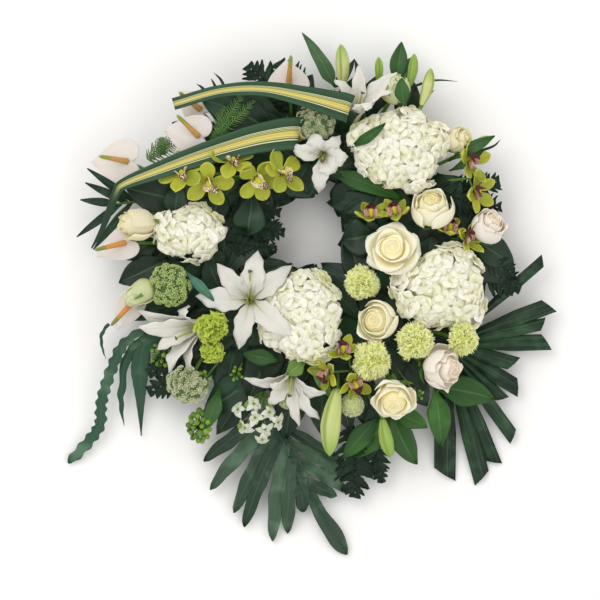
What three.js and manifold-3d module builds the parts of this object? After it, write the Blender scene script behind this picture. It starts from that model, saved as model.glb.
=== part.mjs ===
// Funeral wreath: a ring of wet floral foam in a plastic tray, planted all round with cut flowers and leaves.
// Millimetres, +Z up. It lies face up on its tray, and +Y is the side that stands uppermost when it is shown.
// Places are given from the ring's own centre; the last lines move the whole wreath so that its box stands
// on the origin.

import * as THREE from 'three';
import { mergeVertices } from 'three/addons/utils/BufferGeometryUtils.js';
import Module from 'manifold-3d';

const wasm = await Module();
wasm.setup();

// ---------------------------------------------------------------------------------------------------------
// Driving dimensions
// ---------------------------------------------------------------------------------------------------------

const FOAM = { inner: 102, outer: 177, base: 2.2, top: 55, corner: 13 };
const TRAY = { wall: 1.8, rim: 17, gap: 0.4 };
const RING_SIDES = 32;

const CLEARANCE = 0.35;         // left between neighbours that press together
const ROOT_DEPTH = 26;          // height that a stem's foot is pushed down to
const ROOT_BAND = [118, 160];   // radii between which stems are planted
const STEM_SIDES = 5;
const WELD = 0.002;

const LEAF_THICK = 1.3;
const PETAL_THICK = 1.4;

// ---------------------------------------------------------------------------------------------------------
// The planting plan: [x, y, z] from the ring's centre; a lean is [azimuth, degrees from upright]
// ---------------------------------------------------------------------------------------------------------

const ANTHURIUMS = [
  { notch: [-246, 121, 92], tipTowards: 181, pitch: 6, length: 58, width: 66, spadix: [170, 48] },
  { notch: [-147, 154, 104], tipTowards: 168, pitch: 4, length: 56, width: 62, spadix: [136, 50] },
  { notch: [-146, 190, 84], tipTowards: 140, pitch: 2, length: 46, width: 48, spadix: [141, 45] },
  { notch: [-27, 222, 86], tipTowards: 95, pitch: 4, length: 42, width: 60, spadix: [85, 49] },
  { notch: [-250, 10, 78], tipTowards: 205, pitch: 8, length: 52, width: 46, spadix: [194, 52] },
  { notch: [-244, -72, 74], tipTowards: 240, pitch: 8, length: 50, width: 40, spadix: [228, 50] },
];

const LILIES = [
  {
    base: [-80, -72, 76], lean: [225, 6], rise: 34, width: 34, root: -8,
    tips: [[-20, -22, 104], [-70, 0, 108], [-130, -20, 106], [-161, -68, 104], [-98, -145, 102], [-22, -124, 128]],
  },
  {
    base: [22, 132, 88], lean: [250, 14], rise: 26, width: 24, root: 0,
    tips: [[-28, 142, 110], [2, 166, 104], [48, 160, 106], [60, 126, 112], [14, 73, 100], [40, 100, 108]],
  },
  {
    base: [64, 176, 84], lean: [76, 52], rise: 32, width: 26, root: 0,
    tips: [[40, 240, 100], [37, 218, 104], [74, 258, 98], [122, 250, 96], [112, 224, 124], [84, 202, 134]],
  },
  {
    base: [-136, -104, 74], lean: [196, 62], rise: 40, width: 28, root: 4,
    tips: [[-242, -92, 84], [-236, -116, 100], [-214, -140, 88], [-202, -174, 78], [-164, -186, 82], [-174, -76, 98]],
  },
  {
    base: [-22, -172, 72], lean: [252, 40], rise: 30, width: 26, root: -4,
    tips: [[-92, -186, 88], [-56, -222, 86], [-14, -252, 80], [14, -244, 88], [-52, -196, 112], [26, -208, 96]],
  },
];

const LILY_BUDS = [
  { base: [48, 222, 72], tip: [46, 286, 82], girth: 20, root: 8.5 },
  { base: [99, 230, 70], tip: [99, 268, 84], girth: 12, root: -1 },
  { base: [147, 224, 64], tip: [152, 276, 74], girth: 14, root: -1.2 },
  { base: [158, 198, 84], tip: [172, 252, 92], girth: 20, root: -4.9 },
  { base: [42, -194, 84], tip: [30, -292, 96], girth: 31, root: 3 },
  { base: [104, -238, 72], tip: [116, -294, 74], girth: 20, root: -5 },
  { base: [226, 138, 66], tip: [256, 156, 76], girth: 16, root: 4 },
];

const ROSES = [
  { at: [-212, 34, 82], lean: [176, 66], width: 62, height: 56, root: 0 },
  { at: [174, 52, 72], lean: [60, 8], width: 62, height: 52, root: 0 },
  { at: [117, -4, 84], lean: [190, 8], width: 80, height: 52, root: -4 },
  { at: [104, -101, 76], lean: [150, 14], width: 64, height: 50, root: 2 },
  { at: [172, -165, 72], lean: [350, 42], width: 66, height: 54, root: 0 },
  { at: [122, -200, 74], lean: [265, 24], width: 76, height: 52, root: -3 },
  { at: [244, 26, 62], lean: [20, 40], width: 52, height: 48, root: 1 },
  { at: [120, 214, 66], lean: [80, 30], width: 44, height: 40, root: 2.3 },
  { at: [-226, -54, 76], lean: [200, 40], width: 38, height: 46, root: 0 },
];

const HYDRANGEAS = [
  { at: [126, 137, 64], size: [146, 126, 58], lean: [45, 8], root: 3.6 },
  { at: [-163, 21, 62], size: [112, 90, 54], lean: [180, 6], root: 0 },
  { at: [-6, -97, 62], size: [126, 142, 62], lean: [270, 4], root: 4 },
  { at: [184, -56, 62], size: [142, 130, 58], lean: [340, 8], root: 0 },
];

const CARNATIONS = [
  { at: [74, -49, 78], lean: [0, 6], width: 46, height: 38, root: -12 },
  { at: [90, -155, 80], lean: [260, 6], width: 52, height: 40, root: 3 },
  { at: [148, -132, 84], lean: [40, 8], width: 50, height: 40, root: 5 },
  { at: [202, -126, 78], lean: [0, 52], width: 44, height: 38, root: -6 },
  { at: [-136, -112, 92], lean: [60, 6], width: 46, height: 34, root: 10 },
  { at: [-134, -143, 86], lean: [270, 12], width: 30, height: 26, root: -6 },
];

const LACE_FLOWERS = [
  { at: [-191, -52, 84], lean: [180, 14], width: 60, height: 22, root: 6 },
  { at: [9, 174, 84], lean: [60, 8], width: 54, height: 20, root: 2 },
  { at: [-166, -186, 72], lean: [240, 34], width: 58, height: 26, root: -8 },
];

// Each spray: the stem's line from its foot in the foam, and its florets as [x, y, z, azimuth, tilt, spin]
const ORCHID_SPRAYS = [
  {
    stem: [[-96, 82, 26], [-100, 96, 60], [-126, 104, 84], [-172, 104, 92]],
    florets: [
      [-172, 106, 98, 150, 24, 0], [-137, 98, 100, 200, 16, 30], [-108, 114, 98, 90, 34, 10],
      [-70, 94, 98, 270, 18, 40], [-38, 101, 100, 20, 20, 15],
    ],
  },
  {
    stem: [[112, 64, 26], [108, 60, 60], [106, 54, 74]],
    florets: [[90, 45, 88, 200, 30, 10], [124, 52, 92, 60, 16, 25]],
  },
  {
    stem: [[134, 70, 26], [190, 92, 60], [226, 98, 72]],
    florets: [[229, 118, 84, 60, 24, 0], [236, 80, 82, 0, 26, 35]],
  },
  {
    stem: [[156, 22, 26], [190, 24, 62], [212, 20, 74]],
    florets: [[199, 28, 84, 100, 20, 0], [222, 12, 80, 330, 30, 30]],
  },
  {
    stem: [[54, -118, 26], [56, -140, 62], [60, -172, 72]],
    florets: [[50, -146, 90, 120, 14, 0], [66, -184, 84, 300, 20, 20]],
  },
];
const ORCHID_SPAN = 56;

const STRIPED_LEAVES = [
  {
    path: [[-190, 203, 114], [-123, 219, 120], [-64, 224, 126], [-4, 214, 128], [47, 199, 122],
      [43, 176, 84], [36, 145, 30]],
    width: 31,
  },
  {
    path: [[-274, 50, 96], [-262, 84, 112], [-207, 109, 118], [-151, 129, 122], [-81, 150, 122], [-40, 158, 118],
      [-18, 158, 110], [-12, 156, 88], [-9, 152, 58], [-6, 148, 30]],
    width: 37,
  },
];

const FAN_PALM = {
  petiole: [[152, -100, 32], [194, -136, 40]],
  heart: [194, -136, 40],
  fingers: [
    { tip: [330, -26, 34], width: 15 }, { tip: [342, -84, 30], width: 18 }, { tip: [334, -110, 26], width: 13 },
    { tip: [337, -136, 24], width: 24 }, { tip: [294, -160, 26], width: 14 }, { tip: [298, -198, 20], width: 16 },
    { tip: [275, -214, 18], width: 13 }, { tip: [290, -258, 12], width: 16 }, { tip: [266, -304, 8], width: 18 },
    { tip: [242, -325, 8], width: 18 }, { tip: [198, -320, 10], width: 22 },
  ],
};

const LOBED_LEAF = {
  petiole: [[-34, -152, 34], [-46, -234, 34]],
  rib: [[-46, -228, 34], [-18, -300, 32], [16, -370, 20], [53, -430, 6]],
  lobes: [
    { from: 0.02, tip: [-146, -298, 18] }, { from: 0.12, tip: [-137, -338, 14] }, { from: 0.24, tip: [-102, -371, 12] },
    { from: 0.36, tip: [-88, -392, 8] }, { from: 0.48, tip: [-48, -411, 6] }, { from: 0.6, tip: [-26, -402, 6] },
    { from: 0.72, tip: [-6, -370, 14] }, { from: 0.16, tip: [62, -316, 22] }, { from: 0.3, tip: [64, -330, 20] },
    { from: 0.44, tip: [62, -348, 16] }, { from: 0.58, tip: [50, -360, 14] },
  ],
  width: 21,
};

const STRAP_FERNS = [
  { path: [[-136, -84, 34], [-216, -108, 44], [-262, -142, 40], [-284, -192, 32], [-294, -241, 22], [-336, -302, 8]], width: 19 },
  { path: [[-122, -102, 32], [-190, -126, 36], [-232, -146, 34], [-240, -196, 26], [-235, -262, 10]], width: 23 },
];

const PALM_FROND = {
  path: [[-150, 56, 34], [-214, 66, 44], [-274, 62, 46]],
  leaflets: [
    { from: 0.74, tip: [-310, 112, 52] }, { from: 0.82, tip: [-313, 92, 50] }, { from: 0.96, tip: [-320, 68, 46] },
    { from: 0.9, tip: [-319, 22, 40] }, { from: 0.78, tip: [-302, -2, 38] },
  ],
};

// Each twig: its stem from the foam to where the leaves spring, and the leaves' tips
const LAUREL_TWIGS = [
  {
    stem: [[122, -106, 34], [178, -196, 42]],
    leaves: [{ tip: [262, -212, 44], width: 40 }, { tip: [187, -278, 34], width: 32 }],
  },
  {
    stem: [[62, -146, 34], [118, -232, 42]],
    leaves: [{ tip: [154, -302, 32], width: 28 }, { tip: [66, -294, 34], width: 36 }, { tip: [168, -252, 40], width: 26 }],
  },
  {
    stem: [[22, 150, 34], [38, 226, 46]],
    leaves: [{ tip: [-8, 302, 42], width: 27 }, { tip: [62, 282, 40], width: 20 }],
  },
  {
    stem: [[80, 135, 34], [124, 228, 44]],
    leaves: [{ tip: [132, 290, 42], width: 24 }, { tip: [176, 262, 38], width: 22 }],
  },
];

// Dark glossy leaves that arch over the edge of the hole
const RING_LEAVES = [
  { path: [[-113, 34, 32], [-88, 22, 70], [-82, 40, 84], [-78, 76, 74]], width: 46, from: 0.3 },
  { path: [[113, 26, 32], [92, 20, 66], [68, 14, 74], [47, 12, 60]], width: 54, from: 0.3 },
];

// ---------------------------------------------------------------------------------------------------------
// Finishes
// ---------------------------------------------------------------------------------------------------------

const finish = (color, roughness) => new THREE.MeshStandardMaterial({ color, roughness, metalness: 0 });

const FINISHES = {
  tray: finish('#23352a', 0.45),
  foam: finish('#2f5a3a', 0.95),
  spathe: finish('#ddd6cf', 0.4),
  lily: finish('#ecebe6', 0.5),
  bud: finish('#c3cb78', 0.5),
  rose: finish('#e2dab8', 0.55),
  hydrangea: finish('#e4ded3', 0.7),
  carnation: finish('#c2d477', 0.7),
  lace: finish('#93a583', 0.85),
  orchid: finish('#9aae22', 0.45),
  striped: finish('#4a6b3c', 0.4),
  dark_leaf: finish('#26402f', 0.4),
  green_leaf: finish('#3b6327', 0.4),
  blue_leaf: finish('#4a7563', 0.5),
};

// ---------------------------------------------------------------------------------------------------------
// Shapes
// ---------------------------------------------------------------------------------------------------------

const UP = new THREE.Vector3(0, 0, 1);
const point = (coordinates) => new THREE.Vector3(...coordinates);
const radians = THREE.MathUtils.degToRad;

// The direction that a bloom faces
function facing([azimuth, tilt]) {
  const lean = new THREE.Euler(0, radians(tilt), radians(azimuth), 'ZYX');
  return UP.clone().applyEuler(lean);
}

// Shared corners become one, and triangles that this makes empty go
function welded(geometry) {
  const bare = new THREE.BufferGeometry();
  bare.setAttribute('position', geometry.getAttribute('position'));
  bare.setIndex(geometry.getIndex());
  const merged = mergeVertices(bare, WELD);
  const corners = merged.getIndex().array;
  const kept = [];
  for (let i = 0; i < corners.length; i += 3) {
    const [a, b, c] = corners.slice(i, i + 3);
    if (a !== b && b !== c && c !== a) {
      kept.push(a, b, c);
    }
  }
  merged.setIndex(kept);
  return merged;
}

// A closed skin over rings of points, each ring turning to the right about the way that they follow
function skin(rings) {
  const count = rings[0].length;
  const faces = [];
  for (let r = 0; r < rings.length - 1; r++) {
    for (let i = 0; i < count; i++) {
      const a = r * count + i;
      const b = r * count + (i + 1) % count;
      faces.push(a, b, b + count, a, b + count, a + count);
    }
  }
  const last = (rings.length - 1) * count;
  for (let i = 1; i < count - 1; i++) {
    faces.push(0, i + 1, i, last, last + i, last + i + 1);
  }
  const geometry = new THREE.BufferGeometry().setFromPoints(rings.flat());
  geometry.setIndex(faces);
  return geometry;
}

// A thin blade along a curve: a petal, leaf or strap. half(t) is its half width; fold sinks or lifts its midrib,
// and across, where given, is the way that its width lies.
function blade({ curve, across: width, half, thick, fold = 0, steps = 4 }) {
  const rings = [];
  for (let i = 0; i <= steps; i++) {
    const t = i / steps;
    const centre = curve.getPoint(t);
    const along = curve.getTangent(t);
    const side = (width ?? new THREE.Vector3().crossVectors(UP, along)).clone().normalize();
    const normal = new THREE.Vector3().crossVectors(along, side).normalize();
    const reach = half(t);
    const at = (sideways, through) => centre.clone()
      .addScaledVector(side, sideways * reach)
      .addScaledVector(normal, through);
    const ring = [at(1, -thick / 2), at(1, thick / 2), at(-1, thick / 2), at(-1, -thick / 2)];
    if (fold !== 0) {
      ring.splice(2, 0, at(0, thick / 2 + fold * reach));
      ring.push(at(0, -thick / 2 + fold * reach));
    }
    rings.push(ring);
  }
  return skin(rings);
}

// A straight round stalk
function stalk(from, to, radius, tipRadius = radius) {
  const way = to.clone().sub(from);
  const geometry = new THREE.CylinderGeometry(tipRadius, radius, way.length(), STEM_SIDES);
  geometry.applyQuaternion(new THREE.Quaternion().setFromUnitVectors(new THREE.Vector3(0, 1, 0), way.clone().normalize()));
  const middle = from.clone().lerp(to, 0.5);
  return geometry.translate(middle.x, middle.y, middle.z);
}

// A turned head: profile is [radius, height] from the axis back to the axis
function turned(profile, sides) {
  const outline = profile.map(([radius, height]) => new THREE.Vector2(radius, height));
  return new THREE.LatheGeometry(outline, sides).rotateX(Math.PI / 2);
}

// Stands a head that was made about +Z at a place, facing a direction
function stood(geometry, at, axis) {
  geometry.applyQuaternion(new THREE.Quaternion().setFromUnitVectors(UP, axis));
  return geometry.translate(at.x, at.y, at.z);
}

// Where a stem that carries something at `at` is planted; `turn` shifts it round the ring, in degrees
function root(at, turn = 0) {
  const bearing = Math.atan2(at.y, at.x) + radians(turn);
  const radius = THREE.MathUtils.clamp(Math.hypot(at.x, at.y), ...ROOT_BAND);
  return point([radius * Math.cos(bearing), radius * Math.sin(bearing), ROOT_DEPTH]);
}

const straightTo = (a, b) => new THREE.LineCurve3(a, b);

// A half width that swells from a narrow foot to a full belly and ends in a point
const pointed = (width, foot = 0.2, belly = 0.55) => (t) => {
  const swell = foot + (1 - foot) * THREE.MathUtils.smoothstep(t, 0, belly);
  const taper = Math.cos(Math.max(t - belly, 0) / (1 - belly) * Math.PI / 2);
  return Math.max(width / 2 * swell * taper, 0.8);
};

// ---------------------------------------------------------------------------------------------------------
// Flowers and leaves: each gives the closed members that are joined into one solid
// ---------------------------------------------------------------------------------------------------------

function anthurium({ notch, tipTowards, pitch, length, width, spadix }) {
  const heart = new THREE.Shape();
  heart.moveTo(0, 0);
  heart.bezierCurveTo(-length * 0.28, width * 0.1, -length * 0.22, width * 0.52, length * 0.16, width * 0.5);
  heart.bezierCurveTo(length * 0.5, width * 0.48, length * 0.78, width * 0.2, length, 0);
  heart.bezierCurveTo(length * 0.78, -width * 0.2, length * 0.5, -width * 0.48, length * 0.16, -width * 0.5);
  heart.bezierCurveTo(-length * 0.22, -width * 0.52, -length * 0.28, -width * 0.1, 0, 0);
  const spathe = new THREE.ExtrudeGeometry(heart, { depth: PETAL_THICK, bevelEnabled: false, curveSegments: 4 });
  spathe.rotateY(radians(pitch));
  spathe.rotateZ(radians(tipTowards));
  spathe.translate(...notch);
  const inside = facing([tipTowards, 90]).multiplyScalar(5);
  const joint = point(notch).add(inside);
  const [azimuth, reach] = spadix;
  const end = joint.clone().addScaledVector(facing([azimuth, 62]), reach);
  return [spathe, stalk(joint, end, 4.4, 2.4), stalk(root(joint), joint, 2.6)];
}

function lily({ base, lean, rise, width, root: turn, tips }) {
  const foot = point(base);
  const axis = facing(lean);
  const members = tips.map((place, i) => {
    const tip = point(place);
    const outwards = tip.clone().sub(foot).projectOnPlane(axis);
    const start = foot.clone().addScaledVector(outwards.clone().normalize(), 5);
    const throat = foot.clone().addScaledVector(axis, rise * 1.5).addScaledVector(outwards, 0.3);
    const curve = new THREE.QuadraticBezierCurve3(start, throat, tip);
    const petalWidth = i % 2 ? width : width * 0.8;
    const across = new THREE.Vector3().crossVectors(axis, outwards);
    return blade({ curve, across, half: pointed(petalWidth, 0.15, 0.6), thick: PETAL_THICK });
  });
  const cup = turned([[0, -3], [7, -2], [7.5, 4], [0, 3]], 6);
  const stigma = foot.clone().addScaledVector(axis, rise * 1.35);
  return [stood(cup, foot, axis), ...members, stalk(foot, stigma, 1.6, 3), stalk(root(foot, turn), foot, 3)];
}

function lilyBud({ base, tip, girth, root: turn }) {
  const foot = point(base);
  const way = point(tip).sub(foot);
  const length = way.length();
  const r = girth / 2;
  const bud = turned([[0, 0], [r * 0.5, length * 0.03], [r, length * 0.6], [r * 0.66, length * 0.88], [0, length]], 7);
  return [stood(bud, foot, way.normalize()), stalk(root(foot, turn), foot.clone().addScaledVector(way, 4), 2.6)];
}

function rose({ at, lean, width, height, root: turn }) {
  const r = width / 2;
  const bloom = turned([[0, 0], [r * 0.35, height * 0.04], [r * 0.86, height * 0.3], [r, height * 0.66],
    [r * 0.76, height * 0.72], [r * 0.7, height * 0.88], [r * 0.4, height], [0, height * 0.92]], 10);
  const foot = point(at);
  const axis = facing(lean);
  return [stood(bloom, foot, axis), stalk(root(foot, turn), foot.clone().addScaledVector(axis, 4), 3)];
}

function hydrangea({ at, size, lean, root: turn }) {
  const [across, along, height] = size;
  const dome = turned([[0, 0], [0.82, 0.08], [1, 0.36], [0.9, 0.66], [0.6, 0.91], [0, 1]], 14);
  dome.scale(across / 2, along / 2, height);
  const foot = point(at);
  const axis = facing(lean);
  return [stood(dome, foot, axis), stalk(root(foot, turn), foot.clone().addScaledVector(axis, 6), 4)];
}

function carnation({ at, lean, width, height, root: turn }) {
  const r = width / 2;
  const head = turned([[0, 0], [r * 0.3, height * 0.04], [r * 0.3, height * 0.34], [r * 0.96, height * 0.5],
    [r, height * 0.7], [r * 0.66, height * 0.94], [0, height]], 10);
  const foot = point(at);
  const axis = facing(lean);
  return [stood(head, foot, axis), stalk(root(foot, turn), foot.clone().addScaledVector(axis, 4), 2.6)];
}

function laceFlower({ at, lean, width, height, root: turn }) {
  const r = width / 2;
  const umbel = turned([[0, 0], [r * 0.12, height * 0.06], [r, height * 0.56], [r * 0.8, height * 0.86], [0, height]], 10);
  const foot = point(at);
  const axis = facing(lean);
  return [stood(umbel, foot, axis), stalk(root(foot, turn), foot.clone().addScaledVector(axis, 3), 2.4)];
}

function orchidSpray({ stem, florets }) {
  const line = stem.map(point);
  const members = [];
  for (let i = 1; i < line.length; i++) {
    members.push(stalk(line[i - 1], line[i], 2.8));
  }
  for (const [x, y, z, azimuth, tilt, spin] of florets) {
    const heart = point([x, y, z]);
    const axis = facing([azimuth, tilt]);
    const nearest = new THREE.CatmullRomCurve3(line).getPoints(24)
      .reduce((best, p) => (p.distanceTo(heart) < best.distanceTo(heart) ? p : best));
    members.push(stalk(nearest, heart, 2));
    for (let i = 0; i < 5; i++) {
      const turn = radians(spin + 90 + i * 72);
      const out = new THREE.Vector3(Math.cos(turn), Math.sin(turn), 0)
        .applyQuaternion(new THREE.Quaternion().setFromUnitVectors(UP, axis));
      const start = heart.clone().addScaledVector(out, 5.6).addScaledVector(axis, 1);
      const bend = heart.clone().addScaledVector(out, ORCHID_SPAN * 0.28).addScaledVector(axis, 8);
      const end = heart.clone().addScaledVector(out, ORCHID_SPAN * 0.5).addScaledVector(axis, 3);
      const curve = new THREE.QuadraticBezierCurve3(start, bend, end);
      const across = new THREE.Vector3().crossVectors(axis, out);
      members.push(blade({ curve, across, half: pointed(18, 0.32, 0.5), thick: PETAL_THICK, steps: 2 }));
    }
    members.push(stood(turned([[0, -2], [7, -1], [7, 4], [4.5, 12], [0, 10]], 5), heart, axis));
  }
  return members;
}

function stripedLeaf({ path, width }) {
  const curve = new THREE.CatmullRomCurve3(path.map(point));
  const half = (t) => width / 2 * Math.min(0.72 + 0.5 * t, 1) * THREE.MathUtils.clamp((1 - t) * 6, 0.14, 1);
  return [blade({ curve, half, thick: LEAF_THICK, fold: -0.1, steps: 12 })];
}

function fanPalm({ petiole, heart, fingers }) {
  const middle = point(heart);
  const members = fingers.map(({ tip, width }) => {
    const end = point(tip);
    const inner = middle.clone().addScaledVector(end.clone().sub(middle).normalize(), 13);
    const arch = middle.clone().lerp(end, 0.4).setZ(middle.z + 3);
    const curve = new THREE.QuadraticBezierCurve3(inner, arch, end);
    const half = (t) => width / 2 * (0.2 + 0.8 * Math.min(t * 1.6, 1));
    return blade({ curve, half, thick: LEAF_THICK, steps: 3 });
  });
  const palm = turned([[0, -3], [20, -2], [20, 3], [0, 4]], 12).translate(...heart);
  return [...members, palm, stalk(point(petiole[0]), point(petiole[1]), 3.2)];
}

function lobedLeaf({ petiole, rib, lobes, width }) {
  const spine = new THREE.CatmullRomCurve3(rib.map(point));
  const members = lobes.map(({ from, tip }) => {
    const start = spine.getPoint(from);
    const end = point(tip);
    const bend = start.clone().lerp(end, 0.55).setZ(Math.max(start.z, end.z) + 2);
    const curve = new THREE.QuadraticBezierCurve3(start, bend, end);
    return blade({ curve, half: pointed(width, 0.5, 0.5), thick: LEAF_THICK, steps: 3 });
  });
  const along = blade({ curve: spine, half: pointed(26, 0.5, 0.3), thick: LEAF_THICK, steps: 5 });
  return [along, ...members, stalk(point(petiole[0]), point(petiole[1]), 2.8)];
}

function strapFern({ path, width }) {
  const curve = new THREE.CatmullRomCurve3(path.map(point));
  const half = (t) => width / 2 * (t < 0.3 ? 0.25 + 2.5 * t : 1) * THREE.MathUtils.clamp((1 - t) * 2.4, 0.1, 1);
  return [blade({ curve, half, thick: LEAF_THICK, fold: -0.12, steps: 11 })];
}

function palmFrond({ path, leaflets }) {
  const stemLine = new THREE.CatmullRomCurve3(path.map(point));
  const members = leaflets.map(({ from, tip }) => {
    const curve = straightTo(stemLine.getPoint(from), point(tip));
    return blade({ curve, half: pointed(11, 0.4, 0.35), thick: LEAF_THICK, steps: 3 });
  });
  return [blade({ curve: stemLine, half: () => 2.4, thick: 4, steps: 6 }), ...members];
}

function laurelTwig({ stem, leaves }) {
  const [foot, fork] = stem.map(point);
  const members = leaves.map(({ tip, width }) => {
    const end = point(tip);
    const arch = fork.clone().lerp(end, 0.5).setZ(Math.max(fork.z, end.z) + 5);
    const curve = new THREE.QuadraticBezierCurve3(fork, arch, end);
    return blade({ curve, half: pointed(width, 0.1, 0.5), thick: LEAF_THICK, fold: -0.14, steps: 5 });
  });
  return [...members, stalk(foot, fork, 2.4)];
}

function ringLeaf({ path, width, from }) {
  const curve = new THREE.CatmullRomCurve3(path.map(point));
  const outline = pointed(width, 0.15, 0.45);
  const half = (t) => (t < from ? 2.2 : Math.max(outline((t - from) / (1 - from)), 1.4));
  return [blade({ curve, half, thick: LEAF_THICK, fold: -0.16, steps: 9 })];
}

function ringTray() {
  const inner = FOAM.inner - TRAY.gap - TRAY.wall;
  const outer = FOAM.outer + TRAY.gap + TRAY.wall;
  const outline = [
    [inner, 0], [outer, 0], [outer, TRAY.rim], [outer - TRAY.wall, TRAY.rim], [outer - TRAY.wall, TRAY.wall],
    [inner + TRAY.wall, TRAY.wall], [inner + TRAY.wall, TRAY.rim], [inner, TRAY.rim], [inner, 0],
  ];
  return [turned(outline, RING_SIDES)];
}

function foamRing() {
  const { inner, outer, base, top, corner } = FOAM;
  const soft = corner * 0.3;
  const outline = [
    [inner, base], [outer, base], [outer, top - corner], [outer - soft, top - soft], [outer - corner, top],
    [inner + corner, top], [inner + soft, top - soft], [inner, top - corner], [inner, base],
  ];
  return [turned(outline, RING_SIDES)];
}

// ---------------------------------------------------------------------------------------------------------
// Putting it together
// ---------------------------------------------------------------------------------------------------------

function solid(geometry) {
  const { array: vertProperties } = geometry.getAttribute('position');
  const triVerts = Uint32Array.from(geometry.getIndex().array);
  return new wasm.Manifold(new wasm.Mesh({ numProp: 3, vertProperties: Float32Array.from(vertProperties), triVerts }));
}

// The same closed skin with every face moved out by a clearance, which is what a neighbour has to keep clear of
function swollen(geometry, by) {
  const position = geometry.getAttribute('position');
  const corners = geometry.getIndex().array;
  const faces = Array.from({ length: position.count }, () => []);
  for (let i = 0; i < corners.length; i += 3) {
    const [a, b, c] = [0, 1, 2].map((k) => new THREE.Vector3().fromBufferAttribute(position, corners[i + k]));
    const normal = new THREE.Triangle(a, b, c).getNormal(new THREE.Vector3());
    for (let k = 0; k < 3; k++) {
      const known = faces[corners[i + k]];
      if (!known.some((other) => other.dot(normal) > 0.999)) {
        known.push(normal);
      }
    }
  }
  const grown = geometry.clone();
  const moved = grown.getAttribute('position');
  faces.forEach((normals, i) => {
    const m = [0.06, 0, 0, 0, 0.06, 0, 0, 0, 0.06];
    const pull = new THREE.Vector3();
    for (const n of normals) {
      const [x, y, z] = n.toArray();
      [x * x, x * y, x * z, y * x, y * y, y * z, z * x, z * y, z * z].forEach((value, k) => { m[k] += value; });
      pull.add(n);
    }
    const shift = pull.multiplyScalar(by).applyMatrix3(new THREE.Matrix3().set(...m).invert()).clampLength(0, by * 3);
    const place = new THREE.Vector3().fromBufferAttribute(position, i).add(shift);
    moved.setXYZ(i, ...place.toArray());
  });
  return grown;
}

const joined = (solids) => solids.reduce((whole, next) => whole.add(next));

function boxesMeet(a, b) {
  return [0, 1, 2].every((k) => a.min[k] < b.max[k] && b.min[k] < a.max[k]);
}

const wreath = new THREE.Group();
const planted = [];

// Adds a piece. Where it would run into those already placed it gives way, as a soft petal or the foam does.
function plant(name, members, material) {
  const skins = members.map(welded);
  let body = joined(skins.map(solid));
  for (const other of planted) {
    if (boxesMeet(body.boundingBox(), other.keepOut.boundingBox())) {
      body = body.subtract(other.keepOut);
    }
  }
  const [whole] = body.decompose().sort((a, b) => b.volume() - a.volume());
  planted.push({ name, keepOut: joined(skins.map((part) => solid(swollen(part, CLEARANCE)))) });
  const { vertProperties, triVerts } = whole.getMesh();
  const geometry = new THREE.BufferGeometry();
  geometry.setAttribute('position', new THREE.BufferAttribute(vertProperties, 3));
  geometry.setIndex(Array.from(triVerts));
  geometry.computeVertexNormals();
  const mesh = new THREE.Mesh(geometry, material);
  mesh.name = name;
  wreath.add(mesh);
}

function plantRow(name, rows, make, material) {
  rows.forEach((row, i) => plant(`${name}_${i + 1}`, make(row), material));
}

// Thin blades first, then the fuller heads that yield to them, and last the foam that every stem is pushed into
plantRow('striped_leaf', STRIPED_LEAVES, stripedLeaf, FINISHES.striped);
plantRow('lily', LILIES, lily, FINISHES.lily);
plantRow('anthurium', ANTHURIUMS, anthurium, FINISHES.spathe);
plantRow('lily_bud', LILY_BUDS, lilyBud, FINISHES.bud);
plantRow('orchid_spray', ORCHID_SPRAYS, orchidSpray, FINISHES.orchid);
plant('fan_palm_leaf', fanPalm(FAN_PALM), FINISHES.dark_leaf);
plant('lobed_leaf', lobedLeaf(LOBED_LEAF), FINISHES.dark_leaf);
plantRow('strap_fern', STRAP_FERNS, strapFern, FINISHES.blue_leaf);
plant('palm_frond', palmFrond(PALM_FROND), FINISHES.dark_leaf);
plantRow('laurel_twig', LAUREL_TWIGS, laurelTwig, FINISHES.green_leaf);
plantRow('ring_leaf', RING_LEAVES, ringLeaf, FINISHES.dark_leaf);
plantRow('rose', ROSES, rose, FINISHES.rose);
plantRow('lace_flower', LACE_FLOWERS, laceFlower, FINISHES.lace);
plantRow('carnation', CARNATIONS, carnation, FINISHES.carnation);
plantRow('hydrangea', HYDRANGEAS, hydrangea, FINISHES.hydrangea);
plant('ring_tray', ringTray(), FINISHES.tray);
plant('foam_ring', foamRing(), FINISHES.foam);

// The wreath's box stands on the origin
const box = new THREE.Box3().setFromObject(wreath);
const middle = box.getCenter(new THREE.Vector3());
wreath.position.set(-middle.x, -middle.y, -box.min.z);

export default wreath;
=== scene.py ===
"""The looks of a funeral wreath: petals, leaves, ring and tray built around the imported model.

Places are in millimetres from the middle of the foam ring, as in the model's source; they become metres
in the model's own frame when a piece is made."""

import math

import bpy
import numpy as np
from bpy.props import FloatProperty, FloatVectorProperty, PointerProperty
from bpy.types import Operator, Panel, PropertyGroup
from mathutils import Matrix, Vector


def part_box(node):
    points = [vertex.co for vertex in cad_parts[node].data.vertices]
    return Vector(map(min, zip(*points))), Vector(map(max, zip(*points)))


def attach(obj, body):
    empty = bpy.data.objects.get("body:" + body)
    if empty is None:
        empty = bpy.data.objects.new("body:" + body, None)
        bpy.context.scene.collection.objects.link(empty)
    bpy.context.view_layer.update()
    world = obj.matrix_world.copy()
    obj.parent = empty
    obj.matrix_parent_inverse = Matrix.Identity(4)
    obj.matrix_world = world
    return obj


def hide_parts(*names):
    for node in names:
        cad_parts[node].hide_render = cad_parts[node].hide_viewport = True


bl_info = {
    "name": "Funeral wreath",
    "version": (1, 0, 0),
    "blender": (4, 5, 0),
    "location": "3D View > Sidebar > Wreath",
    "description": "Models the flowers, leaves and ring of a funeral wreath around its packed model",
    "category": "Add Mesh",
}

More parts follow.
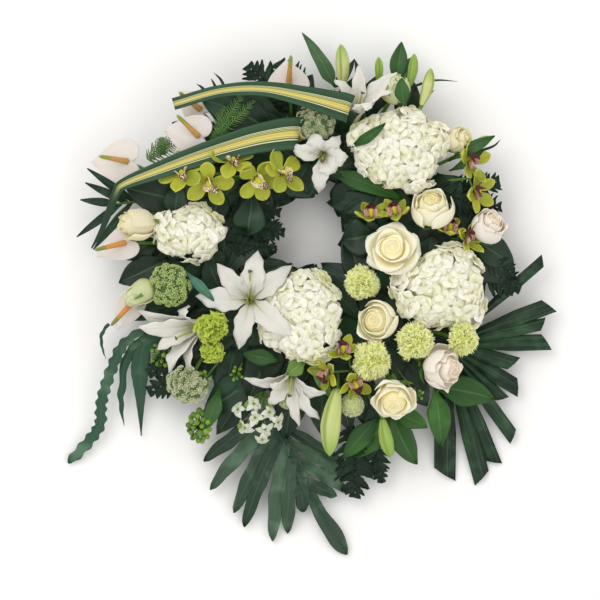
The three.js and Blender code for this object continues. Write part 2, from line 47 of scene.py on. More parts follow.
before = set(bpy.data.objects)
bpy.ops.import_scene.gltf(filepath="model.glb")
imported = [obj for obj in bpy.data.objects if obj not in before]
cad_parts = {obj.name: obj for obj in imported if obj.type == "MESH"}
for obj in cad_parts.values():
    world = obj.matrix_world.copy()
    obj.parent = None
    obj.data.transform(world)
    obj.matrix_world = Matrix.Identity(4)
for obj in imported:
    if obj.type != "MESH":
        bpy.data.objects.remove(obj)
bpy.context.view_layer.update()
ROOT = "root"

# === Places of the pieces, in millimetres from the ring's middle ===

MM = 0.001
FOAM_LOW, FOAM_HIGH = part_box("foam_ring")
MIDDLE = (FOAM_LOW + FOAM_HIGH) / 2
FOAM = {"outer": (FOAM_HIGH.x - FOAM_LOW.x) / 2 / MM, "base": FOAM_LOW.z / MM, "top": FOAM_HIGH.z / MM}
TRAY = {"rim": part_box("ring_tray")[1].z / MM, "gap": 0.4}
# how high the stems end in the foam, and the band of its radius that they are planted in
ROOT_HEIGHT = 26.0
ROOT_BAND = (118.0, 160.0)
# what the leaves leave open over the hole, as (across, along)
HOLE = {"middle": (-7.0, 25.0), "half": (52.0, 46.0)}

# notch, the way that the tip points, pitch, length, width, spadix as (way, reach)
ANTHURIUMS = [
    ((-246, 121, 92), 181, 6, 58, 66, (170, 48)),
    ((-147, 154, 104), 168, 4, 56, 62, (136, 50)),
    ((-146, 190, 84), 140, 2, 46, 48, (141, 45)),
    ((-27, 222, 86), 95, 4, 42, 60, (85, 49)),
    ((-250, 10, 78), 205, 8, 52, 46, (194, 52)),
    ((-244, -72, 74), 240, 8, 50, 40, (228, 50)),
]

# throat, lean as (azimuth, tilt), rise of the trumpet, petal width, root turn, tips of the six petals
LILIES = [
    ((-80, -72, 76), (225, 6), 34, 34, -8,
     [(-20, -22, 104), (-70, 0, 108), (-130, -20, 106), (-161, -68, 104), (-98, -145, 102),
      (-22, -124, 128)]),
    ((22, 132, 88), (250, 14), 26, 28, 0,
     [(-28, 142, 110), (2, 166, 104), (48, 160, 106), (60, 126, 112), (14, 73, 100), (40, 100, 108)]),
    ((64, 176, 84), (76, 52), 32, 26, 0,
     [(40, 240, 100), (37, 218, 104), (74, 258, 98), (122, 250, 96), (112, 224, 124), (84, 202, 134)]),
    ((-136, -104, 74), (196, 62), 40, 28, 4,
     [(-242, -92, 84), (-236, -116, 100), (-214, -140, 88), (-202, -174, 78), (-164, -186, 82),
      (-174, -76, 98)]),
    ((-22, -172, 72), (252, 40), 30, 21, -4,
     [(-92, -186, 88), (-56, -222, 86), (-14, -252, 80), (14, -244, 88), (-52, -196, 112), (26, -208, 96)]),
]

# where each open lily's style ends
STYLE_ENDS = [(-81, -34, 116), (20, 122, 110), (76, 216, 112), (-184, -126, 106), (-26, -206, 108)]

# foot, tip, girth, root turn, ripeness from green (0) to cream (1)
LILY_BUDS = [
    ((48, 222, 72), (46, 286, 82), 20, 8.5, 0.9),
    ((99, 230, 70), (99, 268, 84), 12, -1, 0.05),
    ((141, 223, 64), (149, 273, 74), 14, -1.2, 0.15),
    ((158, 198, 84), (172, 252, 92), 17, -4.9, 0.95),
    ((42, -194, 84), (30, -292, 96), 29, 3, 0.8),
    ((104, -238, 72), (116, -294, 74), 20, -5, 0.2),
    ((226, 138, 66), (256, 156, 76), 16, 4, 0.35),
]

# foot, lean, width, height, root turn, openness (-1 for a closed one)
ROSES = [
    ((-208, 32, 82), (178, 80), 46, 58, 0, 0.12),
    ((175, 36, 74), (96, 40), 60, 54, 0, 0.0),
    ((117, -4, 84), (90, 6), 78, 52, -4, 1.0),
    ((108, -101, 76), (180, 22), 60, 50, 2, 0.2),
    ((162, -164, 76), (352, 54), 66, 58, 0, 0.35),
    ((121, -192, 76), (268, 38), 72, 54, -3, 0.7),
    ((239, 14, 62), (50, 50), 54, 50, 1, 0.2),
    ((120, 214, 66), (80, 30), 44, 40, 2.3, -1),
    ((-212, -50, 78), (212, 76), 36, 52, 0, -1),
]

# foot, (across, along, height), lean, root turn
HYDRANGEAS = [
    ((126, 137, 64), (146, 126, 58), (45, 8), 3.6),
    ((-163, 21, 62), (112, 90, 54), (180, 6), 0),
    ((-6, -97, 62), (126, 142, 62), (270, 4), 4),
    ((184, -56, 62), (142, 130, 58), (340, 8), 0),
]

# foot, lean, width, height, root turn, tone from pale (0) to lime (1)
CARNATIONS = [
    ((74, -49, 78), (0, 6), 46, 38, -12, 0.35),
    ((90, -155, 80), (260, 6), 52, 40, 3, 0.3),
    ((148, -132, 84), (40, 8), 50, 40, 5, 0.25),
    ((202, -126, 78), (0, 52), 44, 38, -6, 0.35),
    ((-136, -112, 92), (60, 6), 46, 34, 10, 1.0),
    ((-134, -143, 86), (270, 12), 30, 26, -6, 0.9),
]

# foot, lean, width, height, root turn, (heads, seeds in each, seed size), look
LACE_FLOWERS = [
    ((-191, -52, 84), (180, 14), 60, 22, 6, (46, 15, 3.0), "lace_green"),
    ((9, 174, 84), (60, 8), 54, 20, 2, (48, 20, 2.0), "lace_pale"),
    ((-166, -186, 72), (240, 34), 58, 26, -8, (48, 20, 2.0), "lace_pale"),
]

# stem line, florets as (x, y, z, azimuth, tilt, spin)
ORCHID_SPRAYS = [
    ([(-96, 82, 26), (-100, 96, 60), (-126, 104, 84), (-172, 104, 92)],
     [(-174, 102, 106, 120, 34, 20), (-138, 94, 108, 250, 30, 60), (-106, 118, 112, 80, 42, 10),
      (-72, 98, 110, 300, 30, 55), (-38, 104, 106, 30, 38, 20)]),
    ([(112, 64, 26), (108, 60, 60), (106, 54, 74)],
     [(89, 42, 86, 95, 52, 176), (124, 46, 90, 112, 50, 190)]),
    ([(134, 70, 26), (190, 92, 60), (226, 98, 72)],
     [(224, 118, 80, 20, 48, 215), (232, 80, 80, 350, 48, 230)]),
    ([(156, 22, 26), (190, 24, 62), (212, 20, 74)],
     [(198, 22, 84, 80, 52, 180), (220, 12, 80, 20, 44, 210)]),
    ([(54, -118, 26), (56, -140, 62), (60, -172, 72)],
     [(48, -148, 92, 80, 40, 200), (64, -186, 86, 300, 40, 20), (30, -174, 88, 200, 46, 20)]),
]

# middle line, widths along it
STRIPED_LEAVES = [
    ([(-188, 201, 112), (-123, 219, 118), (-64, 222, 124), (-4, 211, 126), (46, 198, 122), (58, 194, 116)],
     [17, 17, 20, 29, 40, 40]),
    ([(-304, 0, 50), (-290, 24, 62), (-279, 50, 80), (-268, 78, 98), (-256, 90, 106), (-207, 109, 110),
      (-151, 129, 112), (-81, 150, 112), (-40, 158, 110), (-18, 160, 106), (-10, 158, 88), (-8, 152, 58),
      (-6, 148, 30)],
     [2, 7, 10, 13, 16, 24, 31, 40, 45, 46, 46, 40, 34]),
]
# the end of the first one, which turns down into the ring
STRIPED_TURN = ([(58, 192, 112), (54, 180, 94), (44, 164, 60), (38, 150, 32)], [30, 18, 12, 10])

# fingers as (tip, width)
FAN_PALM = {
    "petiole": [(152, -100, 32), (194, -136, 40)],
    "heart": (194, -136, 40),
    "fingers": [((332, -16, 34), 16), ((342, -80, 30), 24), ((334, -106, 26), 18), ((339, -132, 24), 24),
                ((293, -163, 26), 22), ((298, -198, 20), 24), ((276, -214, 18), 18), ((291, -268, 12), 20),
                ((263, -304, 8), 22), ((246, -327, 8), 26), ((193, -322, 10), 32)],
}

# lobes as (where it leaves the rib, tip), the left ones first
LOBED_LEAF = {
    "left": 7,
    "petiole": [(-34, -152, 34), (-46, -234, 34)],
    "rib": [(-46, -228, 34), (-18, -300, 32), (16, -370, 20), (55, -432, 6)],
    "lobes": [(0.0, (-147, -300, 18)), (0.04, (-138, -340, 14)), (0.08, (-104, -373, 12)),
              (0.13, (-90, -393, 8)), (0.2, (-50, -413, 6)), (0.3, (-28, -402, 6)), (0.44, (-6, -372, 12)),
              (0.1, (60, -312, 24)), (0.2, (64, -328, 22)), (0.32, (58, -344, 18)), (0.46, (40, -350, 16))],
    "width": 21,
}

# middle line, width, how much its edges wave
STRAP_FERNS = [
    ([(-136, -84, 34), (-216, -108, 44), (-256, -132, 42), (-272, -160, 38), (-284, -192, 32),
      (-291, -220, 27), (-293, -248, 22), (-309, -272, 14), (-338, -303, 6)], 15, 1.0),
    ([(-122, -102, 32), (-190, -122, 36), (-228, -134, 36), (-236, -166, 31), (-236, -210, 22),
      (-235, -264, 8)], 26, 0.12),
]

# leaflets as (where it leaves the path, tip)
PALM_FROND = {
    "path": [(-150, 56, 34), (-214, 66, 44), (-274, 62, 46)],
    "leaflets": [(0.74, (-310, 112, 52)), (0.82, (-313, 92, 50)), (0.96, (-320, 68, 46)),
                 (0.9, (-325, 16, 40)), (0.78, (-302, -2, 38))],
}

# (foot, fork), leaves as (tip, width)
LAUREL_TWIGS = [
    ([(122, -106, 34), (178, -196, 42)], [((262, -212, 44), 40), ((187, -278, 34), 32)]),
    ([(62, -146, 34), (118, -232, 42)], [((154, -304, 32), 34), ((66, -294, 34), 36), ((168, -252, 40), 26)]),
    ([(22, 150, 34), (38, 226, 46)], [((-8, 303, 42), 25), ((66, 266, 40), 18)]),
    ([(80, 135, 34), (124, 228, 44)], [((132, 290, 42), 24), ((152, 270, 38), 18)]),
]

# middle line, width, where the blade starts
RING_LEAVES = [
    ([(-113, 34, 32), (-88, 22, 70), (-82, 40, 84), (-78, 76, 74)], 46, 0.3),
    ([(113, 26, 32), (92, 20, 66), (68, 14, 74), (47, 12, 60)], 54, 0.3),
]

# loose leaves: foot, tip, width, arch, fold
BROAD_LEAVES = [
    ((-40, -158, 72), (-92, -148, 72), 24, 8, -0.1),
    ((-124, -196, 58), (-146, -256, 62), 23, 10, -0.2),
    ((56, 140, 98), (108, 174, 130), 15, 6, -0.3),
    ((22, 109, 62), (132, 69, 66), 26, 8, -0.12),
    ((197, 122, 76), (262, 157, 84), 18, 8, -0.25),
    ((198, 108, 70), (246, 137, 76), 14, 8, -0.2),
    ((136, 198, 96), (131, 238, 104), 21, 4, -0.1),
    ((98, -238, 44), (50, -296, 40), 30, 8, -0.1),
]
DARK_LEAVES = [
    ((-160, 62, 60), (-256, 84, 70), 56, 12, -0.08),
    ((-186, 40, 78), (-180, 90, 84), 34, 14, -0.2),
    ((-44, 160, 84), (-150, 208, 92), 62, 12, -0.1),
    ((-30, 178, 70), (-120, 226, 84), 40, 10, -0.1),
    ((-100, 140, 70), (-190, 176, 86), 46, 10, -0.1),
    ((-60, 170, 50), (-60, 246, 56), 44, 10, -0.1),
    ((-20, 170, 50), (6, 244, 56), 40, 10, -0.1),
    ((84, 180, 60), (66, 263, 70), 15, 6, -0.2),
    ((50, 176, 50), (64, 240, 56), 40, 10, -0.1),
    ((90, 180, 50), (104, 246, 56), 38, 10, -0.1),
    ((124, 176, 50), (150, 232, 56), 36, 10, -0.1),
    ((230, 14, 52), (289, -24, 44), 44, 8, -0.1),
    ((212, -10, 50), (280, -48, 42), 40, 8, -0.1),
    ((-60, -176, 48), (-146, -240, 40), 54, 8, -0.1),
    ((-60, -140, 50), (-128, -262, 30), 50, 10, -0.1),
    ((-40, -110, 56), (-84, -214, 50), 56, 10, -0.1),
    ((-110, -110, 50), (-180, -206, 40), 50, 10, -0.1),
    ((-100, -130, 48), (-128, -212, 44), 44, 8, -0.1),
    ((-130, -90, 52), (-214, -168, 42), 50, 10, -0.1),
    ((-150, -110, 50), (-206, -120, 48), 46, 8, -0.1),
    ((-130, -130, 46), (-170, -176, 44), 46, 8, -0.1),
    ((-150, -54, 50), (-216, -94, 48), 46, 8, -0.1),
    ((-196, -14, 58), (-266, -48, 54), 44, 8, -0.12),
    ((-196, -60, 56), (-266, -96, 48), 44, 8, -0.12),
    ((-206, 10, 52), (-262, -14, 56), 38, 8, -0.12),
    ((180, 104, 58), (214, 62, 66), 40, 8, -0.1),
    ((206, 70, 52), (222, 20, 56), 36, 8, -0.12),
    ((-8, -150, 46), (-30, -268, 38), 52, 8, -0.12),
    ((10, -150, 46), (18, -262, 40), 50, 8, -0.12),
    ((40, -150, 46), (60, -258, 38), 44, 8, -0.12),
    ((70, -160, 44), (92, -262, 36), 44, 8, -0.12),
    ((100, -190, 40), (84, -300, 34), 36, 8, -0.12),
    ((150, -150, 46), (160, -214, 42), 40, 8, -0.12),
    ((110, -140, 46), (168, -222, 42), 50, 8, -0.1),
    ((140, -120, 46), (210, -180, 44), 50, 8, -0.1),
    ((150, -110, 50), (206, -130, 50), 46, 8, -0.1),
    ((80, -110, 50), (140, -176, 46), 50, 8, -0.1),
]
OLIVE_LEAVES = [
    ((-4, -158, 84), (-30, -178, 88), 24, 8, -0.3),
    ((2, -166, 78), (34, -212, 78), 15, 10, -0.3),
]
TEAL_LEAVES = [
    ((-170, -34, 104), (-131, -74, 112), 14, 5, -0.2),
]
# line, width, how much its edges wave
THIN_LEAVES = [
    ([(140, 224, 66), (176, 235, 68), (210, 234, 64)], 3.5, 0),
    ([(150, 196, 60), (166, 212, 64), (177, 222, 62)], 6, 0),
    ([(226, 132, 74), (258, 142, 76), (270, 152, 74)], 4, 0),
    ([(-280, -106, 50), (-290, -122, 48), (-289, -140, 44), (-284, -156, 42)], 5, 1),
    ([(-236, -130, 36), (-254, -152, 34), (-262, -196, 26), (-263, -222, 20), (-259, -250, 14)], 12, 1),
    ([(-122, 200, 90), (-130, 226, 84), (-136, 238, 80)], 5, 0),
    ([(-112, 204, 90), (-120, 232, 84), (-132, 246, 80)], 5, 0),
    ([(-130, 196, 90), (-146, 222, 84), (-156, 230, 80)], 5, 0),
]

# foot, tip, width of the frond, pairs of leaflets, tone from dark (0) to light (1)
FERN_SPRIGS = [
    ((-20, 200, 60), (-84, 256, 60), 62, 10, 0.1),
    ((-10, 206, 60), (-40, 262, 56), 56, 10, 0.1),
    ((-120, -150, 56), (-224, -202, 40), 56, 11, 0.15),
    ((-130, -130, 52), (-224, -176, 44), 50, 11, 0.15),
    ((196, 70, 62), (268, 94, 58), 52, 11, 0.0),
    ((200, 50, 54), (270, 58, 50), 48, 11, 0.0),
    ((176, 84, 66), (232, 60, 70), 52, 10, 0.15),
    ((206, 30, 50), (274, 30, 46), 44, 10, 0.0),
    ((66, -250, 42), (66, -350, 22), 60, 12, 0.0),
    ((86, -250, 40), (104, -330, 22), 40, 11, 0.0),
    ((206, -20, 48), (298, -58, 40), 56, 12, 0.1),
    ((200, -4, 52), (290, -34, 46), 50, 12, 0.1),
    ((-104, 36, 66), (-34, 22, 56), 44, 10, 0.1),
    ((-106, 60, 66), (-40, 50, 56), 44, 10, 0.1),
    ((-110, 8, 62), (-44, -2, 54), 40, 10, 0.1),
    ((-70, 110, 64), (-34, 62, 56), 40, 10, 0.1),
]

# foot, tip, width, pairs
FEATHER_SPRIGS = [
    ((-128, 154, 100), (-84, 214, 106), 22, 22),
    ((-134, 150, 98), (-112, 196, 102), 20, 18),
    ((-226, 124, 84), (-188, 152, 88), 24, 16),
    ((-204, 130, 84), (-206, 154, 84), 18, 12),
]

# stars as (x, y, z, azimuth, tilt)
STAR_CLUSTER = {
    "foot": (-62, -200, 52),
    "stars": [(-98, -226, 74, 150, 40), (-74, -238, 82, 90, 14), (-54, -230, 80, 20, 34),
              (-60, -254, 76, 290, 30), (-88, -252, 72, 220, 36), (-76, -218, 80, 60, 20),
              (-42, -244, 74, 340, 40), (-64, -268, 68, 270, 50)],
    "buds": [(-84, -214, 76), (-94, -244, 70), (-50, -214, 74)],
}
# middle, radius, height, count, bead length
BUD_CLUSTERS = [
    ((-152, -250, 56), (15, 21), 18, 26, 11.0),
    ((-148, -188, 76), (10, 14), 14, 12, 8.0),
    ((-100, -176, 66), (9, 9), 9, 8, 6.0),
    ((62, -220, 78), (16, 16), 14, 110, 4.6),
    ((-28, -212, 72), (13, 13), 14, 90, 4.6),
    ((152, -206, 66), (9, 9), 9, 9, 6.0),
    ((-206, -150, 44), (14, 16), 12, 16, 9.0),
]

# under-leaves: laid in over the hole, outwards over the foam, across it, and down its outer wall
UNDER_LEAVES = {"inwards": 34, "outwards": 40, "across": 44, "skirt": 52}

# where the random draws of each kind of piece start
SEEDS = {"undergrowth": 11, "hydrangea": 40, "carnation": 90, "lace": 130, "knot": 300, "frond": 500,
         "rose": 700}

# === Vectors and curves ===

UP = np.array((0.0, 0.0, 1.0))
GOLDEN_ANGLE = math.pi * (3 - math.sqrt(5))
# a corner of a unit ball that is higher than this is its pole
POLE = 0.9999


def spot(place):
    """A place as an array."""
    return np.array(place, float)


def unit(rows):
    """The same directions at length one."""
    rows = np.asarray(rows, float)
    length = np.linalg.norm(rows, axis=-1, keepdims=True)
    return rows / np.maximum(length, 1e-9)


def level(angle):
    """The level direction at an angle, in radians."""
    return np.array((math.cos(angle), math.sin(angle), 0))


def on_dome(z, angle):
    """The direction that has this height on a unit dome, at an angle round it."""
    flat = math.sqrt(max(1 - z * z, 0))
    return np.array((flat * math.cos(angle), flat * math.sin(angle), z))


def facing(azimuth, tilt):
    """The direction that a bloom faces, from its azimuth and its tilt from upright, in degrees."""
    a = math.radians(azimuth)
    t = math.radians(tilt)
    return np.array((math.sin(t) * math.cos(a), math.sin(t) * math.sin(a), math.cos(t)))


def turn_from_up(axis):
    """The matrix of the shortest turn from straight up to an axis."""
    axis = unit(axis)
    cross = np.cross(UP, axis)
    cosine = float(axis[2])
    if cosine < -POLE:
        return np.diag((1.0, -1.0, -1.0))
    k = np.array(((0, -cross[2], cross[1]), (cross[2], 0, -cross[0]), (-cross[1], cross[0], 0)))
    return np.eye(3) + k + k @ k / (1 + cosine)


def turn_about_up(angle):
    """The matrix of a turn about the vertical, in radians."""
    c = math.cos(angle)
    s = math.sin(angle)
    return np.array(((c, -s, 0), (s, c, 0), (0, 0, 1.0)))


def smooth(low, high, x):
    """A soft step from 0 to 1."""
    t = np.clip((x - low) / (high - low), 0, 1)
    return t * t * (3 - 2 * t)


def through(places):
    """A smooth curve through places, as a function of how far along it is."""
    p = np.array(places, float)
    p = np.vstack((2 * p[0] - p[1], p, 2 * p[-1] - p[-2]))
    pieces = len(p) - 3

    def at(v):
        s = np.clip(np.asarray(v, float), 0, 1) * pieces
        i = np.minimum(s.astype(int), pieces - 1)
        t = (s - i)[:, None]
        a, b, c, d = p[i], p[i + 1], p[i + 2], p[i + 3]
        square, cube = 2 * a - 5 * b + 4 * c - d, 3 * b - a - 3 * c + d
        return 0.5 * (2 * b + (c - a) * t + square * t * t + cube * t ** 3)

    return at


def arc(start, bend, end):
    """A curve from start to end that is drawn towards bend."""
    start, bend, end = spot(start), spot(bend), spot(end)

    def at(v):
        t = np.asarray(v, float)[:, None]
        return (1 - t) ** 2 * start + 2 * t * (1 - t) * bend + t * t * end

    return at


def root(at, turn=0.0):
    """Where a stem that carries something at a place is planted in the foam."""
    bearing = math.atan2(at[1], at[0]) + math.radians(turn)
    radius = min(max(math.hypot(at[0], at[1]), ROOT_BAND[0]), ROOT_BAND[1])
    return np.array((radius * math.cos(bearing), radius * math.sin(bearing), ROOT_HEIGHT))


def pointed(width, foot=0.2, belly=0.55, least=0.5):
    """A half width that swells from a narrow foot to a full belly and ends in a point."""

    def half(u, v):
        swell = foot + (1 - foot) * smooth(0, belly, v)
        taper = np.cos(np.maximum(v - belly, 0) / (1 - belly) * math.pi / 2)
        return np.maximum(width / 2 * swell * taper ** 0.8, least)

    return half


# === Stock shapes, each added once and then bent into petals, leaves, stems and beads ===


class Stock:
    """A primitive's corners, faces and map, kept so that many copies can be shaped from it."""

    kept = {}

    def __init__(self, thing):
        mesh = thing.data
        self.points = np.array([v.co for v in mesh.vertices], float)
        self.faces = [tuple(p.vertices) for p in mesh.polygons]
        self.uv = np.array([loop.uv for loop in mesh.uv_layers.active.data], float)
        self.u = self.points[:, 0]
        self.v = (self.points[:, 1] + 1) / 2
        self.turn = np.arctan2(self.points[:, 1], self.points[:, 0])
        self.t = 1 - np.arccos(np.clip(self.points[:, 2], -1, 1)) / math.pi
        bpy.data.objects.remove(thing)
        bpy.data.meshes.remove(mesh)

    @classmethod
    def of(cls, key, add):
        if key not in cls.kept:
            bpy.ops.object.select_all(action="DESELECT")
            add()
            cls.kept[key] = cls(bpy.context.object)
        return cls.kept[key]


def sheet(across, along):
    """A flat sheet: u runs from -1 to 1 across it and v from 0 to 1 along it."""
    return Stock.of(("sheet", across, along), lambda: bpy.ops.mesh.primitive_grid_add(
        x_subdivisions=across, y_subdivisions=along, size=2, calc_uvs=True))


def ball(sides, rings):
    """A round body: turn goes round it and t from 0 at its foot to 1 at its top."""
    return Stock.of(("ball", sides, rings), lambda: bpy.ops.mesh.primitive_uv_sphere_add(
        segments=sides, ring_count=rings, radius=1, calc_uvs=True))


def bead():
    """A small round body with few faces."""
    return Stock.of(("bead",), lambda: bpy.ops.mesh.primitive_ico_sphere_add(
        subdivisions=1, radius=1, calc_uvs=True))


def blade(stock, curve, half, lift=None, across=None):
    """A sheet laid along a curve. half(u, v) is its half width and lift(u, v) raises it off the curve."""
    u, v = stock.u, stock.v
    step = 0.01
    here = curve(v)
    along = unit(curve(np.minimum(v + step, 1)) - curve(np.maximum(v - step, 0)))
    way = np.cross(UP, along) if across is None else np.broadcast_to(across, along.shape)
    side = unit(way - along * np.sum(way * along, axis=1, keepdims=True))
    normal = np.cross(along, side)
    points = here + side * (u * half(u, v))[:, None]
    if lift is not None:
        points = points + normal * lift(u, v)[:, None]
    return points


def rod(stock, curve, radius):
    """A round body drawn out along a curve; radius(t, turn) is its thickness there."""
    rows = np.unique(np.round(stock.t, 5))
    line = curve(rows)
    tangents = unit(np.gradient(line, axis=0))
    side = np.cross(tangents[0], (0.31, 0.83, 0.46))
    sides = []
    for tangent in tangents:
        side = unit(side - tangent * np.dot(side, tangent))
        sides.append(side)
    sides = np.array(sides)
    others = np.cross(tangents, sides)
    row = np.searchsorted(rows, np.round(stock.t, 5))
    reach = radius(stock.t, stock.turn) * (np.abs(stock.points[:, 2]) < POLE)
    return (line[row] + sides[row] * (reach * np.cos(stock.turn))[:, None]
            + others[row] * (reach * np.sin(stock.turn))[:, None])


def head(stock, profile):
    """A round body about the vertical; profile(t, turn) gives its radius and its height."""
    radius, height = profile(stock.t, stock.turn)
    radius = radius * (np.abs(stock.points[:, 2]) < POLE)
    return np.column_stack((radius * np.cos(stock.turn), radius * np.sin(stock.turn), height))


def stood(points, at, axis, spin=0.0):
    """Stands something that was shaped about the vertical at a place, facing an axis."""
    return points @ turn_about_up(spin).T @ turn_from_up(axis).T + spot(at)


# === Gathering shaped stock into one piece ===


class Posy:
    """Petals, leaves and stems that are gathered and then made into one piece."""

    def __init__(self, name):
        self.name = name
        self.thin = []
        self.full = []
        self.finishes = []

    def _index(self, look):
        """The number of a finish among this piece's finishes."""
        material = finish(look)
        if material not in self.finishes:
            self.finishes.append(material)
        return self.finishes.index(material)

    def leaf(self, stock, points, look, tint=0.5):
        """Adds a thin member, which gets its thickness when the piece is made."""
        self.thin.append((stock, points, self._index(look), tint))

    def body(self, stock, points, look, tint=0.5):
        """Adds a closed member."""
        self.full.append((stock, points, self._index(look), tint))

    def stem(self, places, radius, look, tip=None, rings=8, sides=8):
        """Adds a round stem through places."""
        tip = radius if tip is None else tip
        if len(places) == 2:
            places = [places[0], (spot(places[0]) + places[1]) / 2, places[1]]
        stock = ball(sides, rings)
        self.body(stock, rod(stock, through(places), lambda t, turn: radius + (tip - radius) * t), look)

    def plant(self, foot, axis, turn, bow, into, radius, tip):
        """Adds the stem that runs from the foam into a bloom's foot, with a bow against its axis."""
        planted = root(foot, turn)
        places = [planted, (planted + foot) / 2 - axis * bow, foot + axis * into]
        self.stem(places, radius, "stem", tip)

    def _mesh(self, members, name):
        points, faces, uvs, tints, indices = [], [], [], [], []
        count = 0
        for stock, shaped, index, tint in members:
            points.append(shaped)
            faces.extend(tuple(i + count for i in face) for face in stock.faces)
            uvs.append(stock.uv)
            tints.append(np.broadcast_to(tint, (len(shaped),)))
            indices.extend([index] * len(stock.faces))
            count += len(shaped)
        places = np.vstack(points) * MM + np.array((MIDDLE.x, MIDDLE.y, 0.0))
        mesh = bpy.data.meshes.new(name)
        mesh.from_pydata(places.tolist(), [], faces)
        mesh.uv_layers.new(name="UVMap").data.foreach_set("uv", np.vstack(uvs).ravel())
        attribute = mesh.attributes.new("tint", "FLOAT", "POINT")
        attribute.data.foreach_set("value", np.concatenate(tints).astype(np.float32))
        for material in self.finishes:
            mesh.materials.append(material)
        mesh.polygons.foreach_set("material_index", indices)
        mesh.polygons.foreach_set("use_smooth", [True] * len(faces))
        thing = bpy.data.objects.new(name, mesh)
        bpy.context.collection.objects.link(thing)
        return thing

    def make(self, slot, thickness=MM, replaces=()):
        """Makes the piece, puts it into its body and hides the CAD nodes that it replaces; slot is not used.
        """
        things = []
        if self.thin:
            things.append(self._mesh(self.thin, self.name))
            pick(things[0])
            wall = things[0].modifiers.new("thickness", "SOLIDIFY")
            wall.thickness = thickness
            wall.offset = 0
            bpy.ops.object.modifier_apply(modifier=wall.name)
        if self.full:
            things.append(self._mesh(self.full, self.name + "_body" if things else self.name))
        if len(things) > 1:
            pick(*things)
            bpy.ops.object.join()
        ready(things[0], replaces)


def pick(*things):
    """Selects these objects and nothing else, with the first one active."""
    bpy.ops.object.select_all(action="DESELECT")
    for thing in things:
        thing.select_set(True)
    bpy.context.view_layer.objects.active = things[0]


def ready(thing, replaces=()):
    """Says what a finished piece is in the frame."""
    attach(thing, ROOT)
    if replaces:
        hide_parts(*replaces)


# === Shaders ===


# one whole wave of a sine, in radians
WAVE = 6.2832


def tone(code):
    """A colour from its six-digit sRGB code; a colour that is already one stays as it is."""
    if not isinstance(code, str):
        return tuple(code)
    parts = [int(code[i:i + 2], 16) / 255 for i in (0, 2, 4)]
    return tuple(p / 12.92 if p <= 0.04045 else ((p + 0.055) / 1.055) ** 2.4 for p in parts) + (1.0,)


class Wire:
    """A number in a shader, so that shader maths is written as arithmetic."""

    def __init__(self, paint, socket):
        self.paint = paint
        self.socket = socket

    def _maths(self, operation, first, second=0.0):
        return self.paint.add("ShaderNodeMath", {"operation": operation}, {0: first, 1: second})

    def __add__(self, other):
        return self._maths("ADD", self, other)

    def __radd__(self, other):
        return self._maths("ADD", other, self)

    def __sub__(self, other):
        return self._maths("SUBTRACT", self, other)

    def __rsub__(self, other):
        return self._maths("SUBTRACT", other, self)

    def __mul__(self, other):
        return self._maths("MULTIPLY", self, other)

    def __rmul__(self, other):
        return self._maths("MULTIPLY", other, self)

    def __pow__(self, other):
        return self._maths("POWER", self, other)

    def __abs__(self):
        return self._maths("ABSOLUTE", self)

    def sine(self):
        return self._maths("SINE", self)

    def step(self, low, high):
        """A soft step between two values."""
        return self.paint.add("ShaderNodeMapRange", {"interpolation_type": "SMOOTHSTEP"},
                              {0: self, 1: low, 2: high, 3: 0.0, 4: 1.0})


class Paint:
    """A material and the ways to build it."""

    def __init__(self, name):
        self.material = bpy.data.materials.new(name + "_finish")
        self.material.use_nodes = True
        self.tree = self.material.node_tree
        self.tree.nodes.clear()

    def add(self, kind, settings=None, values=None, output=0):
        """Adds a node: its settings first, then the values or wires of its sockets."""
        node = self.tree.nodes.new(kind)
        for key, value in (settings or {}).items():
            if key == "stops":
                ramp = node.color_ramp.elements
                while len(ramp) < len(value):
                    ramp.new(1.0)
                for element, (place, colour) in zip(ramp, value):
                    element.position = place
                    element.color = colour
            else:
                setattr(node, key, value)
        for key, value in (values or {}).items():
            if isinstance(value, Wire):
                self.tree.links.new(value.socket, node.inputs[key])
            else:
                node.inputs[key].default_value = value
        return Wire(self, node.outputs[output])

    def uv(self):
        """The place across and along a petal or leaf, each from 0 to 1."""
        where = self.add("ShaderNodeUVMap", {"uv_map": "UVMap"})
        x = self.add("ShaderNodeSeparateXYZ", None, {0: where}, 0)
        y = self.add("ShaderNodeSeparateXYZ", None, {0: where}, 1)
        return x, y

    def tint(self):
        """The number that each petal or leaf was given."""
        return self.add("ShaderNodeAttribute", {"attribute_name": "tint"}, None, 2)

    def mix(self, factor, first, second):
        """A blend of two colours."""
        return self.add("ShaderNodeMix", {"data_type": "RGBA"}, {0: factor, 6: first, 7: second}, 2)

    def noise(self, scale, detail=3.0, vector=None):
        """Soft cloudy noise from 0 to 1, on the piece's own place unless told another."""
        vector = vector or self.add("ShaderNodeTexCoord", None, None, 3)
        return self.add("ShaderNodeTexNoise", None, {"Vector": vector, "Scale": scale, "Detail": detail})

    def stretched(self, x, y):
        """A vector from two numbers, for noise that runs along a leaf and differs from leaf to leaf."""
        return self.add("ShaderNodeCombineXYZ", None, {0: x, 1: y, 2: self.tint() * 17.0})

    def bump(self, height, strength, distance):
        """A normal that is bent by a height."""
        values = {"Strength": strength, "Distance": distance * MM, "Height": height}
        return self.add("ShaderNodeBump", None, values)

    def coat(self, colour, roughness, normal=None, **uniform):
        """Finishes the material with one shader; uniform values go on its own sockets."""
        values = {"Base Color": colour, "Roughness": roughness}
        if normal is not None:
            values["Normal"] = normal
        values.update({key.replace("_", " ").title(): value for key, value in uniform.items()})
        if "Specular Ior Level" in values:
            values["Specular IOR Level"] = values.pop("Specular Ior Level")
        shader = self.add("ShaderNodeBsdfPrincipled", None, values)
        output = self.tree.nodes.new("ShaderNodeOutputMaterial")
        self.tree.links.new(shader.socket, output.inputs["Surface"])
        return self.material


